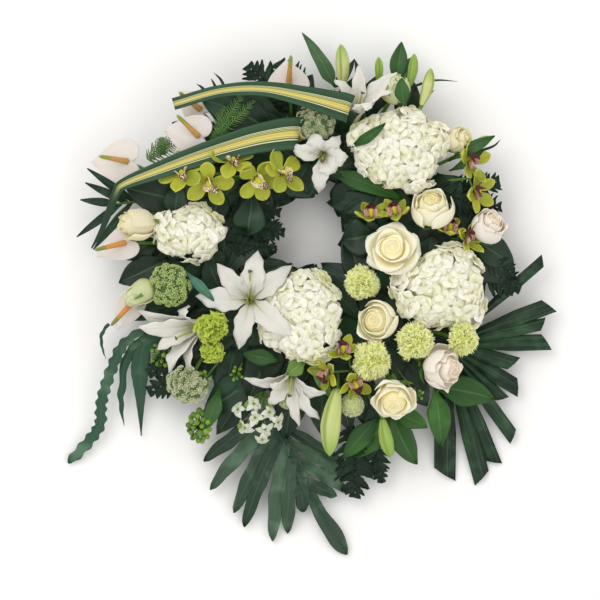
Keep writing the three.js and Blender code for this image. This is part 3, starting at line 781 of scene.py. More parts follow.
def petal_finish(name, pale, deep, throat, reach=0.25, rough=0.5, rib=0.0, veins=0.35, rim=None, glow=0.0,
                 depth=0.005):
    """A petal: tint goes from deep to pale, and the throat's colour spreads from the foot."""
    paint = Paint(name)
    x, y = paint.uv()
    across = abs(x * 2.0 - 1.0)
    cloud = paint.noise(90.0)
    grain = paint.noise(1.0, 4.0, paint.stretched(x * 34.0, y * 2.2))
    body = paint.mix(paint.tint() * 0.8 + (cloud - 0.5) * 0.5 + 0.1, tone(deep), tone(pale))
    inner = 1.0 - y.step(0.0, reach)
    stripe = (1.0 - across.step(0.0, 0.16)) * (1.0 - y.step(0.15, 0.6)) * rib
    flush = paint.add("ShaderNodeMath", {"operation": "MAXIMUM"}, {0: inner, 1: stripe})
    colour = paint.mix(flush, body, tone(throat))
    if rim:
        colour = paint.mix(y.step(0.8, 1.0) * 0.7, colour, tone(rim))
    colour = paint.mix(grain.step(0.35, 0.75) * 0.12, colour, tone(deep))
    height = grain * veins + across.step(0.0, 0.16) * 0.5
    normal = paint.bump(height, 0.35, 0.8)
    # glow: emission in the pale colour, a painted glow that lightens the shade in the petals' folds
    return paint.coat(colour, grain * 0.12 + (rough - 0.06), normal, subsurface_weight=0.4,
                      subsurface_radius=(1.0, 0.9, 0.65), subsurface_scale=depth, specular_ior_level=0.3,
                      sheen_weight=0.1, sheen_roughness=0.5, emission_color=tone(pale),
                      emission_strength=glow)


def leaf_finish(name, dark, light, rib, rough=0.42, veins=26.0, gloss=0.28):
    """A leaf: a pale midrib, side veins that slant from it, a green that differs from leaf to leaf, and
    patches of its lighter green that are painted sheen.
    """
    paint = Paint(name)
    x, y = paint.uv()
    across = abs(x * 2.0 - 1.0)
    sheen_patches = paint.noise(26.0, 4.0)
    fine = paint.noise(420.0, 2.0)
    # painted sheen: patches of the lit green stand in for the soft gloss of leaves that face the light
    painted_sheen = sheen_patches.step(0.5, 0.72) * 0.55
    mixed = paint.mix(painted_sheen + (paint.tint() - 0.3) * 0.6, tone(dark), tone(light))
    vein = ((y * veins - across * (veins * 0.27)) * WAVE).sine() * 0.5 + 0.5
    middle = 1.0 - across.step(0.02, 0.1)
    faint = (vein ** 6.0) * 0.16
    colour = paint.mix(middle * 0.5 + faint, mixed, tone(rib))
    height = vein * 0.35 + fine * 0.25 - middle
    normal = paint.bump(height, 0.5, 0.8)
    return paint.coat(colour, sheen_patches * 0.16 + (rough - 0.08), normal, specular_ior_level=gloss,
                      subsurface_weight=0.05, subsurface_scale=0.002)


def ribbed_finish(name, dark, light, ribs):
    """A palm finger or strap: fine ribs that run its whole length."""
    paint = Paint(name)
    x, y = paint.uv()
    sheen_patches = paint.noise(45.0, 5.0)
    streaks = paint.noise(1.0, 3.0, paint.stretched(x * ribs * 1.6, y * 1.5))
    # the patches of the lit green are painted sheen; the streaks and the tint vary the blade's own tone
    share = sheen_patches.step(0.4, 0.7) * 0.45 + streaks.step(0.45, 0.75) * 0.5 + paint.tint() * 0.3 - 0.1
    mixed = paint.mix(share, tone(dark), tone(light))
    rib = (x * (ribs * WAVE)).sine() * 0.5 + 0.5
    colour = paint.mix((rib ** 4.0) * 0.2, mixed, tone(light))
    normal = paint.bump(rib * 0.5 + streaks * 0.6, 0.5, 0.7)
    return paint.coat(colour, streaks * 0.16 + 0.38, normal, specular_ior_level=0.28)


def flowers():
    """The sizes and colours of the flowers."""
    return bpy.context.scene.wreath_flowers


def leaves():
    """The sizes and colours of the leaves."""
    return bpy.context.scene.wreath_leaves


def ring():
    """The sizes and colours of the foam ring and its tray."""
    return bpy.context.scene.wreath_ring


def striped_finish():
    """The striped strap leaf: green bands at both edges and a yellow middle with fine lines."""
    paint = Paint("striped_leaf")
    x, y = paint.uv()
    streaks = paint.noise(1.0, 4.0, paint.stretched(x * 60.0, y * 1.3))
    broad = paint.noise(1.0, 3.0, paint.stretched(x * 16.0, y * 0.8))
    place = x + (broad - 0.5) * 0.012
    green, deep, cream = tone(leaves().stripe_edge), tone("1C3824"), tone("D6D8A4")
    yellow, dull, amber = tone(leaves().stripe_middle), tone("AFAE62"), tone("C9AC58")
    stops = [(0.0, deep), (0.05, green), (0.29, deep), (0.3, cream), (0.325, cream), (0.335, green),
             (0.36, deep), (0.37, dull), (0.4, yellow), (0.415, green), (0.425, yellow), (0.475, yellow),
             (0.49, amber), (0.515, amber), (0.53, yellow), (0.58, dull), (0.587, deep), (0.598, green),
             (0.606, yellow), (0.63, dull), (0.636, deep), (0.648, green), (0.654, cream), (0.668, cream),
             (0.674, deep), (0.688, green), (0.694, cream), (0.708, cream), (0.716, deep), (0.96, green),
             (1.0, deep)]
    colour = paint.add("ShaderNodeValToRGB", {"stops": stops}, {0: place})
    # a tint of 0 lays the deep green over the whole strip, which paints shade on the first leaf's turned-down
    # end
    colour = paint.mix(paint.tint(), deep, colour)
    colour = paint.mix(streaks.step(0.45, 0.8) * 0.25, colour, tone("6E8A5A"))
    normal = paint.bump(streaks * 0.8 + (place * 260.0).sine() * 0.2, 0.3, 0.5)
    return paint.coat(colour, streaks * 0.15 + 0.36, normal, specular_ior_level=0.3)


def spadix_finish(name, root_tone, tip_tone):
    """The finger of an arum flower: tiny packed bumps, ripe at its foot and green at its tip."""
    paint = Paint(name)
    y = paint.uv()[1]
    cells = paint.add("ShaderNodeTexVoronoi", {"feature": "F1"}, {
        "Vector": paint.add("ShaderNodeTexCoord", None, None, 3), "Scale": 850.0})
    drift = paint.noise(160.0)
    colour = paint.mix((y + (drift - 0.5) * 0.2).step(0.52, 0.78), tone(root_tone), tone(tip_tone))
    colour = paint.mix(cells.step(0.25, 0.75) * 0.3, colour, tone("6A5A22"))
    normal = paint.bump(1.0 - cells, 0.6, 0.8)
    return paint.coat(colour, drift * 0.1 + 0.4, normal, specular_ior_level=0.4)


def bead_finish(name, dark, light):
    """Tiny florets and buds: each one its own shade of green."""
    paint = Paint(name)
    fine = paint.noise(300.0)
    colour = paint.mix(paint.tint() * 0.8 + fine * 0.3, tone(dark), tone(light))
    normal = paint.bump(fine, 0.4, 0.5)
    return paint.coat(colour, fine * 0.2 + 0.45, normal, subsurface_weight=0.15, subsurface_scale=0.002)


def bud_finish():
    """Lily buds: green at the tip and seams, cream where they are ripe."""
    paint = Paint("lily_bud")
    x, y = paint.uv()
    streaks = paint.noise(1.0, 4.0, paint.stretched(x * 40.0, y * 2.0))
    seam = ((x * (3.0 * WAVE)).sine() * 0.5 + 0.5) ** 10.0
    ripe = paint.mix(streaks, tone("B4BC6A"), tone(flowers().bud_ripe))
    green = paint.mix(streaks, tone("6A922E"), tone(flowers().bud_green))
    tip = y.step(0.55, 0.98)
    colour = paint.mix(paint.tint() * (1.0 - tip * 0.8), green, ripe)
    colour = paint.mix(seam * 0.75, colour, tone("748C32"))
    normal = paint.bump(streaks * 0.6 - seam * 1.6, 0.6, 0.9)
    return paint.coat(colour, streaks * 0.1 + 0.38, normal, specular_ior_level=0.3,
                      subsurface_weight=0.2, subsurface_scale=0.003)


def lip_finish(name, ground, blotch, spread):
    """An orchid's lip: a pale ground with dark blotches that gather towards its edge."""
    paint = Paint(name)
    y = paint.uv()[1]
    spots = paint.noise(520.0, 2.0)
    edge = y.step(0.3, 0.7) * spread
    colour = paint.mix((spots + edge).step(0.56, 0.66), tone(ground), tone(blotch))
    normal = paint.bump(spots, 0.3, 0.5)
    return paint.coat(colour, spots * 0.1 + 0.35, normal, subsurface_weight=0.15, subsurface_scale=0.002,
                      specular_ior_level=0.35)


def foam_finish():
    """Wet green flower foam with fine open cells."""
    paint = Paint("foam")
    cells = paint.noise(900.0, 4.0)
    broad = paint.noise(24.0)
    colour = paint.mix(cells * 0.6 + broad * 0.4, tone("16321F"), tone(ring().foam))
    return paint.coat(colour, cells * 0.1 + 0.82, paint.bump(cells, 0.7, 1.0))


def tray_finish():
    """Dark green moulded plastic with a faint grain and scuffs."""
    paint = Paint("tray")
    grain = paint.noise(700.0)
    scuffs = paint.noise(60.0, 6.0)
    colour = paint.mix(scuffs.step(0.45, 0.75) * 0.4, tone(ring().tray), tone("2B4636"))
    return paint.coat(colour, scuffs * 0.25 + 0.3, paint.bump(grain, 0.25, 0.3), specular_ior_level=0.5)


def floor_finish():
    """A matt, nearly white studio floor."""
    paint = Paint("floor")
    cloud = paint.noise(3.0)
    colour = paint.mix(cloud, tone("F4F3F1"), tone(bpy.context.scene.wreath_stage.floor))
    return paint.coat(colour, 0.9, paint.bump(paint.noise(400.0), 0.05, 0.2))


FINISHES = {}

# glow makes the rose, hydrangea and carnation petals glow in their own pale colour: painted light that lifts
# their shade
FINISH_MAKERS = {
    "lily": lambda: petal_finish("lily_petal", flowers().lily, "CDC9BE", "A8B050", 0.24, rib=0.9),
    "rose": lambda: petal_finish("rose_petal", flowers().rose_heart, flowers().rose, "E2DCA0", 0.12,
                                 rim="F4F1E0", glow=0.06),
    "rose_pink": lambda: petal_finish("rose_blush", "EEDCBC", flowers().rose_blush, "E2D8B8", 0.12,
                                      rim="EEE6D8", glow=0.04),
    "rose_green": lambda: petal_finish("rose_lime", "D5D79C", flowers().rose_green, "A0B258", 0.4,
                                       rim="DCDDB0"),
    "rose_side": lambda: petal_finish("rose_cream", "EADAB0", flowers().rose_cream, "D8D09C", 0.2,
                                      rim="D8E096", glow=0.04),
    "hydrangea": lambda: petal_finish("hydrangea_petal", flowers().hydrangea,
                                      flowers().hydrangea_green, "DEDE9E", 0.2, veins=0.3, glow=0.08,
                                      depth=0.002),
    "hydrangea_heart": lambda: bead_finish("hydrangea_heart", "B4BC72", "D2D694"),
    "carnation": lambda: petal_finish("carnation_petal", flowers().carnation, "D0DA60", "BACB4A", 0.6,
                                      veins=0.7, rim="F2F4BE", glow=0.03, depth=0.002),
    "carnation_lime": lambda: petal_finish("lime_carnation", flowers().carnation_lime, "8FA62C",
                                           "6E8A1E", 0.6, veins=0.7, rim="C4D25C", depth=0.002),
    "orchid": lambda: petal_finish("orchid_petal", flowers().orchid, "8A962A", "C0C148", 0.2,
                                   rough=0.42, veins=0.6, rim="CACA60"),
    "spathe": lambda: petal_finish("spathe", flowers().spathe, "D0C8C1", "CFC2B5", 0.04, rough=0.4,
                                   veins=0.4),
    "star": lambda: petal_finish("star_petal", flowers().star, "CCD2A8", "A9B864", 0.35),
    "column": lambda: petal_finish("orchid_column", "CFC62C", "B5B422", "A8B030", 0.3),
    "stamen": lambda: petal_finish("lily_style", "A9B05A", "98A54A", "9FAA45", 0.3),
    "stigma": lambda: bead_finish("lily_stigma", "3A2C2C", "6A5A50"),
    "spadix_gold": lambda: spadix_finish("spadix_gold", flowers().spadix_gold, "8A9A34"),
    "spadix_orange": lambda: spadix_finish("spadix_orange", flowers().spadix_orange, "7F8A2E"),
    "lip": lambda: lip_finish("orchid_lip", "E6D9A8", flowers().orchid_lip, 0.16),
    "lip_dark": lambda: lip_finish("orchid_dark_lip", "CFA09C", flowers().orchid_lip, 0.75),
    "bud": bud_finish,
    "lace_green": lambda: bead_finish("lace_green", "78944A", flowers().lace_green),
    "lace_pale": lambda: bead_finish("lace_pale", "94A26A", flowers().lace_pale),
    "lace_heart": lambda: bead_finish("lace_heart", "4A6630", "66823E"),
    "green_bud": lambda: bead_finish("green_bud", "2C5218", "7FA236"),
    "stem": lambda: ribbed_finish("stem", "3E6A2A", leaves().stem, 5.0),
    "rib": lambda: ribbed_finish("leaf_rib", "2C4A30", "4A664C", 3.0),
    "calyx": lambda: leaf_finish("calyx", "4F7A2E", "7FA048", "8FB058", veins=8.0),
    "dark": lambda: leaf_finish("dark_leaf", "0E2415", leaves().dark, "456A45", 0.4, gloss=0.34),
    "sage": lambda: leaf_finish("sage_leaf", "3A5C38", leaves().sage, "7A9A6C", 0.45),
    "laurel": lambda: leaf_finish("laurel_leaf", "1C4A0E", leaves().laurel, "56823A", 0.36, gloss=0.4),
    "olive": lambda: leaf_finish("olive_leaf", "5F8236", leaves().olive, "9DB868", 0.45),
    "teal": lambda: leaf_finish("teal_leaf", "37644E", leaves().teal, "6A9A84", 0.5),
    "fern": lambda: leaf_finish("fern_leaf", "0E2214", leaves().fern, "2F5638", 0.45),
    "sprig": lambda: leaf_finish("sprig_leaf", "4A6E34", leaves().sprig, "8AA870", 0.55),
    "palm": lambda: ribbed_finish("palm_leaf", "0C2011", leaves().palm, 7.0),
    "lobed": lambda: leaf_finish("lobed_leaf", "18341F", leaves().lobed, "4C6A50", 0.4, 20.0, 0.4),
    "strap": lambda: leaf_finish("strap_fern", "2C4E39", leaves().strap, "4A6C54", 0.55, 40.0, 0.25),
    "striped": striped_finish,
    "foam": foam_finish,
    "tray": tray_finish,
    "floor": floor_finish,
}


def finish(name):
    """A finish by its short name, made the first time that it is asked for."""
    if name not in FINISHES:
        FINISHES[name] = FINISH_MAKERS[name]()
    return FINISHES[name]


# === Flowers ===


def rounded(width, foot=0.2, belly=0.6, blunt=0.55, least=0.5):
    """A half width that swells to a full belly and closes in a blunt, rounded end."""

    def half(u, v):
        swell = foot + (1 - foot) * smooth(0, belly, v)
        end = np.clip((v - belly) / (1 - belly), 0, 1)
        return np.maximum(width / 2 * swell * (1 - end ** 2.4) ** blunt, least)

    return half


# the two Bezier curves of half a heart's edge, for a heart of length and width one
HEART_BENDS = (((0, 0), (-0.28, 0.1), (-0.22, 0.52), (0.16, 0.5)),
               ((0.16, 0.5), (0.5, 0.48), (0.78, 0.2), (1, 0)))


def heart_edge(s, length, width):
    """Half of a heart's edge: it leaves the notch backwards, rounds the lobe and runs to the tip."""
    t = np.where(s < 0.5, s * 2, s * 2 - 1)[:, None]
    curves = []
    for bends in HEART_BENDS:
        a, b, c, d = (np.array(bend, float) for bend in bends)
        curves.append((1 - t) ** 3 * a + 3 * t * (1 - t) ** 2 * b + 3 * t * t * (1 - t) * c + t ** 3 * d)
    edge = np.where((s < 0.5)[:, None], curves[0], curves[1])
    return edge[:, 0] * length, edge[:, 1] * width


def add_spathe(posy, notch, tip_way, pitch, length, width):
    """The waxy heart of an arum flower, with its two lobes beside the notch."""
    stock = sheet(18, 26)
    u, v = stock.u, stock.v
    side = np.abs(u)
    s = 0.012 + 0.988 * v
    edge_x, edge_y = heart_edge(s, length, width)
    middle = length * s ** 1.15
    x = middle + (edge_x - middle) * side
    y = np.sign(u) * np.maximum(edge_y, 0.3) * side
    veins = 0.35 * np.sin(y * 0.55) * np.sin(x * 0.2)
    rim = 1.6 * side ** 6 - 2.6 * side ** 2
    droop = -5.0 * s ** 3
    groove = -1.4 * np.exp(-(y / 2.4) ** 2) * (1 - s)
    points = np.column_stack((x, y, rim + droop + groove + veins))
    tilt = math.radians(pitch)
    down = np.array(((math.cos(tilt), 0, math.sin(tilt)), (0, 1, 0), (-math.sin(tilt), 0, math.cos(tilt))))
    points = points @ down.T @ turn_about_up(math.radians(tip_way)).T + spot(notch)
    posy.leaf(stock, points, "spathe", 0.6)


def build_anthurium(index, row):
    notch, tip_way, pitch, length, width, (way, reach) = row
    posy = Posy(f"anthurium_bloom_{index}")
    add_spathe(posy, notch, tip_way, pitch, length, width)
    joint = spot(notch) + facing(tip_way, 90) * 5
    end = joint + facing(way, 62) * reach
    middle = (joint + end) / 2 + np.array((0, 0, 2.5))
    stock = ball(12, 20)

    def thick(t, turned):
        blunt = np.sin(math.pi * np.clip(t * 0.94 + 0.06, 0, 1)) * 3
        return (4.5 - 2.0 * t) * np.sqrt(np.clip(blunt, 0, 1))

    look = "spadix_orange" if index > 4 else "spadix_gold"
    posy.body(stock, rod(stock, arc(joint - (0, 0, 1), middle, end), thick), look)
    posy.stem([root(joint), (joint + root(joint)) / 2 + (0, 0, 4), joint - (0, 0, 1.5)], 2.4, "stem")
    posy.make("spathe", flowers().spathe_wall, [f"anthurium_{index}"])


def lily_petal(foot, axis, rise, width, tip, ruffle, seed):
    """One lily petal: narrow at the throat, full in the middle, waved at its edges, curled at its tip."""
    outwards = tip - foot
    outwards = outwards - axis * np.dot(outwards, axis)
    way = unit(outwards)
    start = foot + way * 4
    throat = foot + axis * rise * 1.5 + outwards * 0.3
    across = np.cross(axis, way)
    stock = sheet(10, 24)

    def lift(u, v):
        edge = np.abs(u)
        waves = ruffle * edge ** 3 * np.sin(v * 23 + seed * 5 + np.sign(u) * 1.3) * smooth(0.25, 0.5, v)
        channel = -1.5 * np.exp(-(u / 0.17) ** 2) * (1 - 0.6 * v)
        cup = 3.0 * edge ** 2 * (1 - smooth(0.25, 0.8, v)) - 3.2 * edge ** 2 * smooth(0.45, 0.9, v)
        droop = -0.3 * width * smooth(0.72, 1, v) ** 1.5
        return waves * (1 - 0.7 * smooth(0.85, 1, v)) + channel + cup + droop

    def half(u, v):
        end = np.clip((v - 0.42) / 0.58, 0, 1)
        outline = width / 2 * (0.2 + 0.8 * smooth(0, 0.48, v)) * (1 - end ** 2.4) ** 0.85
        return np.maximum(outline * (1 + 0.09 * np.sin(v * 25 + seed * 3 + np.sign(u)) * np.abs(u) ** 2), 0.4)

    return stock, blade(stock, arc(start, throat, tip), half, lift, across)


def build_lily(index, row):
    base, lean, rise, width, turn, tips = row
    foot, axis = spot(base), facing(*lean)
    posy = Posy(f"lily_bloom_{index}")
    for i, place in enumerate(tips):
        size = width if i % 2 else width * 0.82
        stock, points = lily_petal(foot, axis, rise, size, spot(place), 2.3 if i % 2 else 1.2, i + index)
        posy.leaf(stock, points, "lily", 0.8 if i % 2 else 0.45)
    stigma = spot(STYLE_ENDS[index - 1])
    posy.stem([foot + axis * 2, (foot + stigma) / 2 + axis * 5, stigma], 1.5, "stamen", 1.7, 10)
    knob = ball(10, 6)
    lobes = lambda t, turned: (3.2 * np.sin(math.pi * t) * (1 + 0.22 * np.cos(3 * turned)), 3.2 * t)
    posy.body(knob, stood(head(knob, lobes), stigma - axis, unit(stigma - foot)), "stigma", 0.5)
    for k in range(6):
        side = stood(level(k * math.pi / 3 + index)[None, :], (0, 0, 0), axis)[0]
        top = foot + axis * rise * 0.85 + side * 6 + (stigma - foot) * 0.3
        posy.stem([foot + side * 3, foot + axis * rise * 0.5 + side * 4, top], 0.7, "stamen", 0.4, 6, 5)
    posy.plant(foot, axis, turn, 2, 1, 2.8, 3.4)
    posy.make("lily", flowers().lily_wall, [f"lily_{index}"])


def build_lily_bud(index, row):
    foot, tip, girth, turn, ripeness = row
    foot, tip = spot(foot), spot(tip)
    posy = Posy(f"lily_bud_closed_{index}")
    stock = ball(24, 18)

    def swell(t, turned):
        body = np.interp(t, (0, 0.05, 0.3, 0.58, 0.8, 0.93, 1), (0.3, 0.42, 0.82, 1, 0.8, 0.42, 0.07))
        ridges = 1 + 0.08 * np.cos(3 * turned) + 0.03 * np.cos(6 * turned + 1)
        return girth / 2 * body * ridges

    bow = np.cross(tip - foot, UP) * 0.03
    posy.body(stock, rod(stock, through([foot, (foot + tip) / 2 + bow, tip]), swell), "bud", ripeness)
    way = unit(tip - foot)
    planted = root(foot, turn)
    posy.stem([planted, (planted + foot) / 2 + (0, 0, 3), foot - way * 2, foot + way * 4], 2.4, "stem", 2.8)
    posy.make("bud", replaces=[f"lily_bud_{index}"])


# The walls of rose petals, as (radius, height) in shares of the rose's own, at these shares of the way from
# its heart outwards: in an open rose, in one that is just opening, and in a closed one
ROSE_SHARES = (0.0, 0.35, 0.55, 0.75, 1.0)
OPEN_WALLS = [
    [(0.03, 0), (0.06, 0.5), (0.06, 0.8), (0.05, 0.93), (0.06, 0.96)],
    [(0.04, 0), (0.22, 0.45), (0.25, 0.75), (0.27, 0.91), (0.32, 0.95)],
    [(0.05, 0), (0.38, 0.38), (0.46, 0.66), (0.52, 0.84), (0.61, 0.85)],
    [(0.06, 0), (0.5, 0.28), (0.66, 0.5), (0.78, 0.6), (0.88, 0.55)],
    [(0.08, 0), (0.55, 0.2), (0.78, 0.38), (0.93, 0.43), (1.02, 0.34)],
]
OPENING_WALLS = [
    [(0.03, 0), (0.06, 0.5), (0.06, 0.85), (0.05, 0.95), (0.05, 0.98)],
    [(0.05, 0), (0.3, 0.45), (0.34, 0.78), (0.27, 0.96), (0.25, 1.0)],
    [(0.06, 0), (0.54, 0.42), (0.6, 0.72), (0.46, 0.95), (0.42, 0.99)],
    [(0.08, 0), (0.74, 0.35), (0.84, 0.6), (0.7, 0.87), (0.66, 0.94)],
    [(0.1, 0), (0.86, 0.3), (1.0, 0.52), (0.92, 0.78), (0.92, 0.85)],
]
CLOSED_WALLS = [
    [(0.1, 0), (0.5, 0.3), (0.5, 0.6), (0.28, 0.95), (0.03, 1.06)],
    [(0.1, 0), (0.64, 0.3), (0.66, 0.6), (0.4, 0.94), (0.05, 1.08)],
    [(0.12, 0), (0.78, 0.28), (0.82, 0.56), (0.54, 0.88), (0.16, 1.04)],
    [(0.15, 0), (0.88, 0.26), (0.94, 0.54), (0.7, 0.8), (0.4, 0.98)],
    [(0.18, 0), (0.94, 0.24), (1.02, 0.48), (0.84, 0.74), (0.62, 0.9)],
]


def rose_wall(stock, turn, span, wall, r, height, seed, share):
    """One rose petal about the vertical: it follows a wall's profile and its rim is rounded at both sides."""
    u, v = stock.u, stock.v
    reach = v * (1 - (0.1 + 0.26 * share) * np.abs(u) ** 2.3)
    line = through([(a, b, 0) for a, b in wall])(reach)
    rim = smooth(0.6, 1, v)
    out = line[:, 0] * r * (1 + 0.06 * u) + r * (0.012 + 0.035 * share) * np.sin(u * 4.2 + seed) * rim
    out = out + r * 0.1 * share * np.exp(-(u / 0.24) ** 2) * smooth(0.85, 1, v)
    tall = line[:, 1] * height + height * (0.012 + 0.05 * share) * np.sin(u * 5.0 + seed * 2) * rim
    angle = turn + u * span * (0.55 + 0.45 * smooth(0, 0.45, v))
    return np.column_stack((out * np.cos(angle), out * np.sin(angle), tall))


def add_rose(posy, seed, foot, axis, width, height, openness, look):
    """A whole rose: petals that wind outwards from its heart, the heart's filling and the sepals."""
    rng = np.random.default_rng(SEEDS["rose"] + seed)
    r = width / 2
    closed = openness < 0
    if closed:
        walls = np.array(CLOSED_WALLS)
    else:
        walls = np.array(OPEN_WALLS) * openness + np.array(OPENING_WALLS) * (1 - openness)
    count = 9 if closed else round(13 + 5 * openness)
    stock = sheet(10, 9)
    spans = (110, 88, 70, 54, 44) if openness > 0.25 else (110, 88, 76, 66, 58)
    for k in range(count):
        share = (k / (count - 1)) ** 0.9
        wall = np.array([[np.interp(share, ROSE_SHARES, walls[:, i, j]) for j in range(2)] for i in range(5)])
        span = math.radians(np.interp(share, ROSE_SHARES, spans)) * rng.uniform(0.95, 1.12)
        turn = k * GOLDEN_ANGLE + seed + rng.uniform(-0.12, 0.12)
        grow = rng.uniform(0.94, 1.04) + 0.05 * share * math.sin(k * 2.1 + seed)
        points = rose_wall(stock, turn, span, wall * (grow, 1), r, height * rng.uniform(0.95, 1.0),
                           rng.uniform(0, 6), share)
        warmth = float(np.clip(1.0 - share * 1.25 + rng.uniform(-0.05, 0.05), 0, 1))
        posy.leaf(stock, stood(points, foot, axis), look, warmth)
    if not closed:
        core = ball(20, 16)
        fill = through([(0.06, 0.0, 0), (0.4, 0.3, 0), (np.interp(openness, (0, 1), (0.66, 0.44)), 0.62, 0),
                        (0.34, 0.88, 0), (0.12, 0.9, 0), (0.01, 0.9, 0)])

        def filling(t, turned):
            line = fill(t)
            return line[:, 0] * r, line[:, 1] * height

        posy.body(core, stood(head(core, filling), foot, axis), look, 0.9)
    sepal = sheet(3, 6)
    for k in range(5):
        out = level(k * 2 * math.pi / 5 + 0.4)
        if closed:
            curve = arc(out * 3, out * r * 1.06 + UP * height * 0.3, out * r * 0.8 + UP * height * 0.82)
        else:
            curve = arc(out * 2, out * r * 0.5 - UP * 1, out * r * 0.8 + UP * height * 0.2)
        points = blade(sepal, curve, pointed(9, 0.6, 0.3, 0.3), None, np.cross(UP, out))
        posy.leaf(sepal, stood(points, foot, axis), "calyx", 0.5)


def build_rose(index, row):
    at, lean, width, height, turn, openness = row
    foot, axis = spot(at), facing(*lean)
    looks = {1: "rose_side", 5: "rose_pink", 7: "rose_pink", 8: "rose_green", 9: "rose_green"}
    posy = Posy(f"rose_bloom_{index}")
    add_rose(posy, index, foot, axis, width, height, openness, looks.get(index, "rose"))
    posy.plant(foot, axis, turn, 3, 2, 2.8, 3.4)
    posy.make("rose", flowers().rose_wall, [f"rose_{index}"])


def build_spare_rose():
    """A rose with no solid of its own that stands behind the upper hydrangea."""
    posy = Posy("rose_behind")
    foot, axis = spot((193, 145, 64)), facing(20, 60)
    add_rose(posy, 12, foot, axis, 42, 42, 0.3, "rose_side")
    posy.plant(foot, axis, 0, 3, 2, 2.6, 3.0)
    posy.make("rose", flowers().rose_wall)


def floret_petals(variant):
    """The four petals of one floret about the vertical."""
    stock = sheet(4, 4)
    u, v = stock.u, stock.v
    petals = []
    for k in range(4):
        wave = variant * 1.7 + k * 2.3
        reach = 0.8 + v * 12.0 - 2.6 * u ** 2 * v ** 2
        half = 8.0 * np.sin(math.pi * (0.12 + 0.73 * v)) ** 0.55
        cup = 1.8 * v - 1.9 * v ** 3 + 1.3 * u ** 2 * v * (0.6 + 0.6 * math.cos(wave))
        curl = 1.0 * np.sin(u * 2.8 + wave) * v ** 2 + (0.5 if k % 2 else -0.3)
        flat = np.column_stack((reach, u * half, cup + curl))
        petals.append(flat @ turn_about_up(k * math.pi / 2 + 0.14 * math.sin(wave)).T)
    return stock, petals


def build_hydrangea(index, row):
    at, (across, along, height), lean, turn = row
    foot, axis = spot(at), facing(*lean)
    rng = np.random.default_rng(SEEDS["hydrangea"] + index)
    posy = Posy(f"hydrangea_head_{index}")
    variants = [floret_petals(k)[1] for k in range(6)]
    stock = sheet(4, 4)
    eye = bead()
    half = np.array((across / 2 - 8, along / 2 - 8, 1.0))
    count = int(across * along / 132)
    tufts = []
    for k in range(13):
        tufts.append(on_dome(1 - (k + 0.5) / 13 * 0.95, k * GOLDEN_ANGLE + rng.uniform(-0.4, 0.4)))
    tufts = np.array(tufts)
    for i in range(count):
        z = 1 - (i + 0.5) / count * 1.2
        angle = i * GOLDEN_ANGLE + rng.uniform(-0.2, 0.2)
        flat = math.sqrt(max(1 - z * z, 0))
        way = on_dome(z, angle)
        nearest = int(np.argmax(tufts @ way))
        puff = float(smooth(0.8, 0.985, float(tufts[nearest] @ way)))
        swell = 0.84 + 0.16 * puff + rng.uniform(-0.04, 0.08)
        swell += (0.1 * math.sin(3 * angle - 0.5 * index) + 0.05 * math.sin(5 * angle + index)) * flat
        tall = height * (0.36 + z * (0.6 if z > 0 else 0.30)) * (0.88 + 0.12 * puff) + rng.uniform(-1.5, 1.5)
        middle = np.array((way[0] * half[0] * swell, way[1] * half[1] * swell, tall - 1))
        out = unit(way * (60 / half[0], 60 / half[1], 1.25) + rng.normal(0, 0.17, 3))
        out = unit(out + (way - tufts[nearest]) * 1.1)
        size = rng.uniform(0.88, 1.2)
        spin = rng.uniform(0, math.pi)
        # florets in the hollows between the tufts take the green deep colour: painted shade as well as the
        # greener tone of the inner florets
        shade = float(np.clip(-0.05 + 1.0 * puff + rng.uniform(-0.3, 0.25), 0, 1))
        for petal in variants[i % 6]:
            posy.leaf(stock, stood(stood(petal * size, middle, out, spin), foot, axis), "hydrangea", shade)
        dot = stood(eye.points * 1.2 + (0, 0, 1.0), middle, out)
        posy.body(eye, stood(dot, foot, axis), "lace_pale", 0.9)
    core = ball(20, 12)
    dome = lambda t, a: (0.8 * np.sin(math.pi * t) ** 0.6, t)
    under = head(core, dome) * (half[0], half[1], height * 0.84)
    posy.body(core, stood(under + (0, 0, 3), foot, axis), "hydrangea_heart", 0.3)
    posy.plant(foot, axis, turn, 0, 6, 3.8, 4.2)
    posy.make("hydrangea", flowers().hydrangea_wall, [f"hydrangea_{index}"])


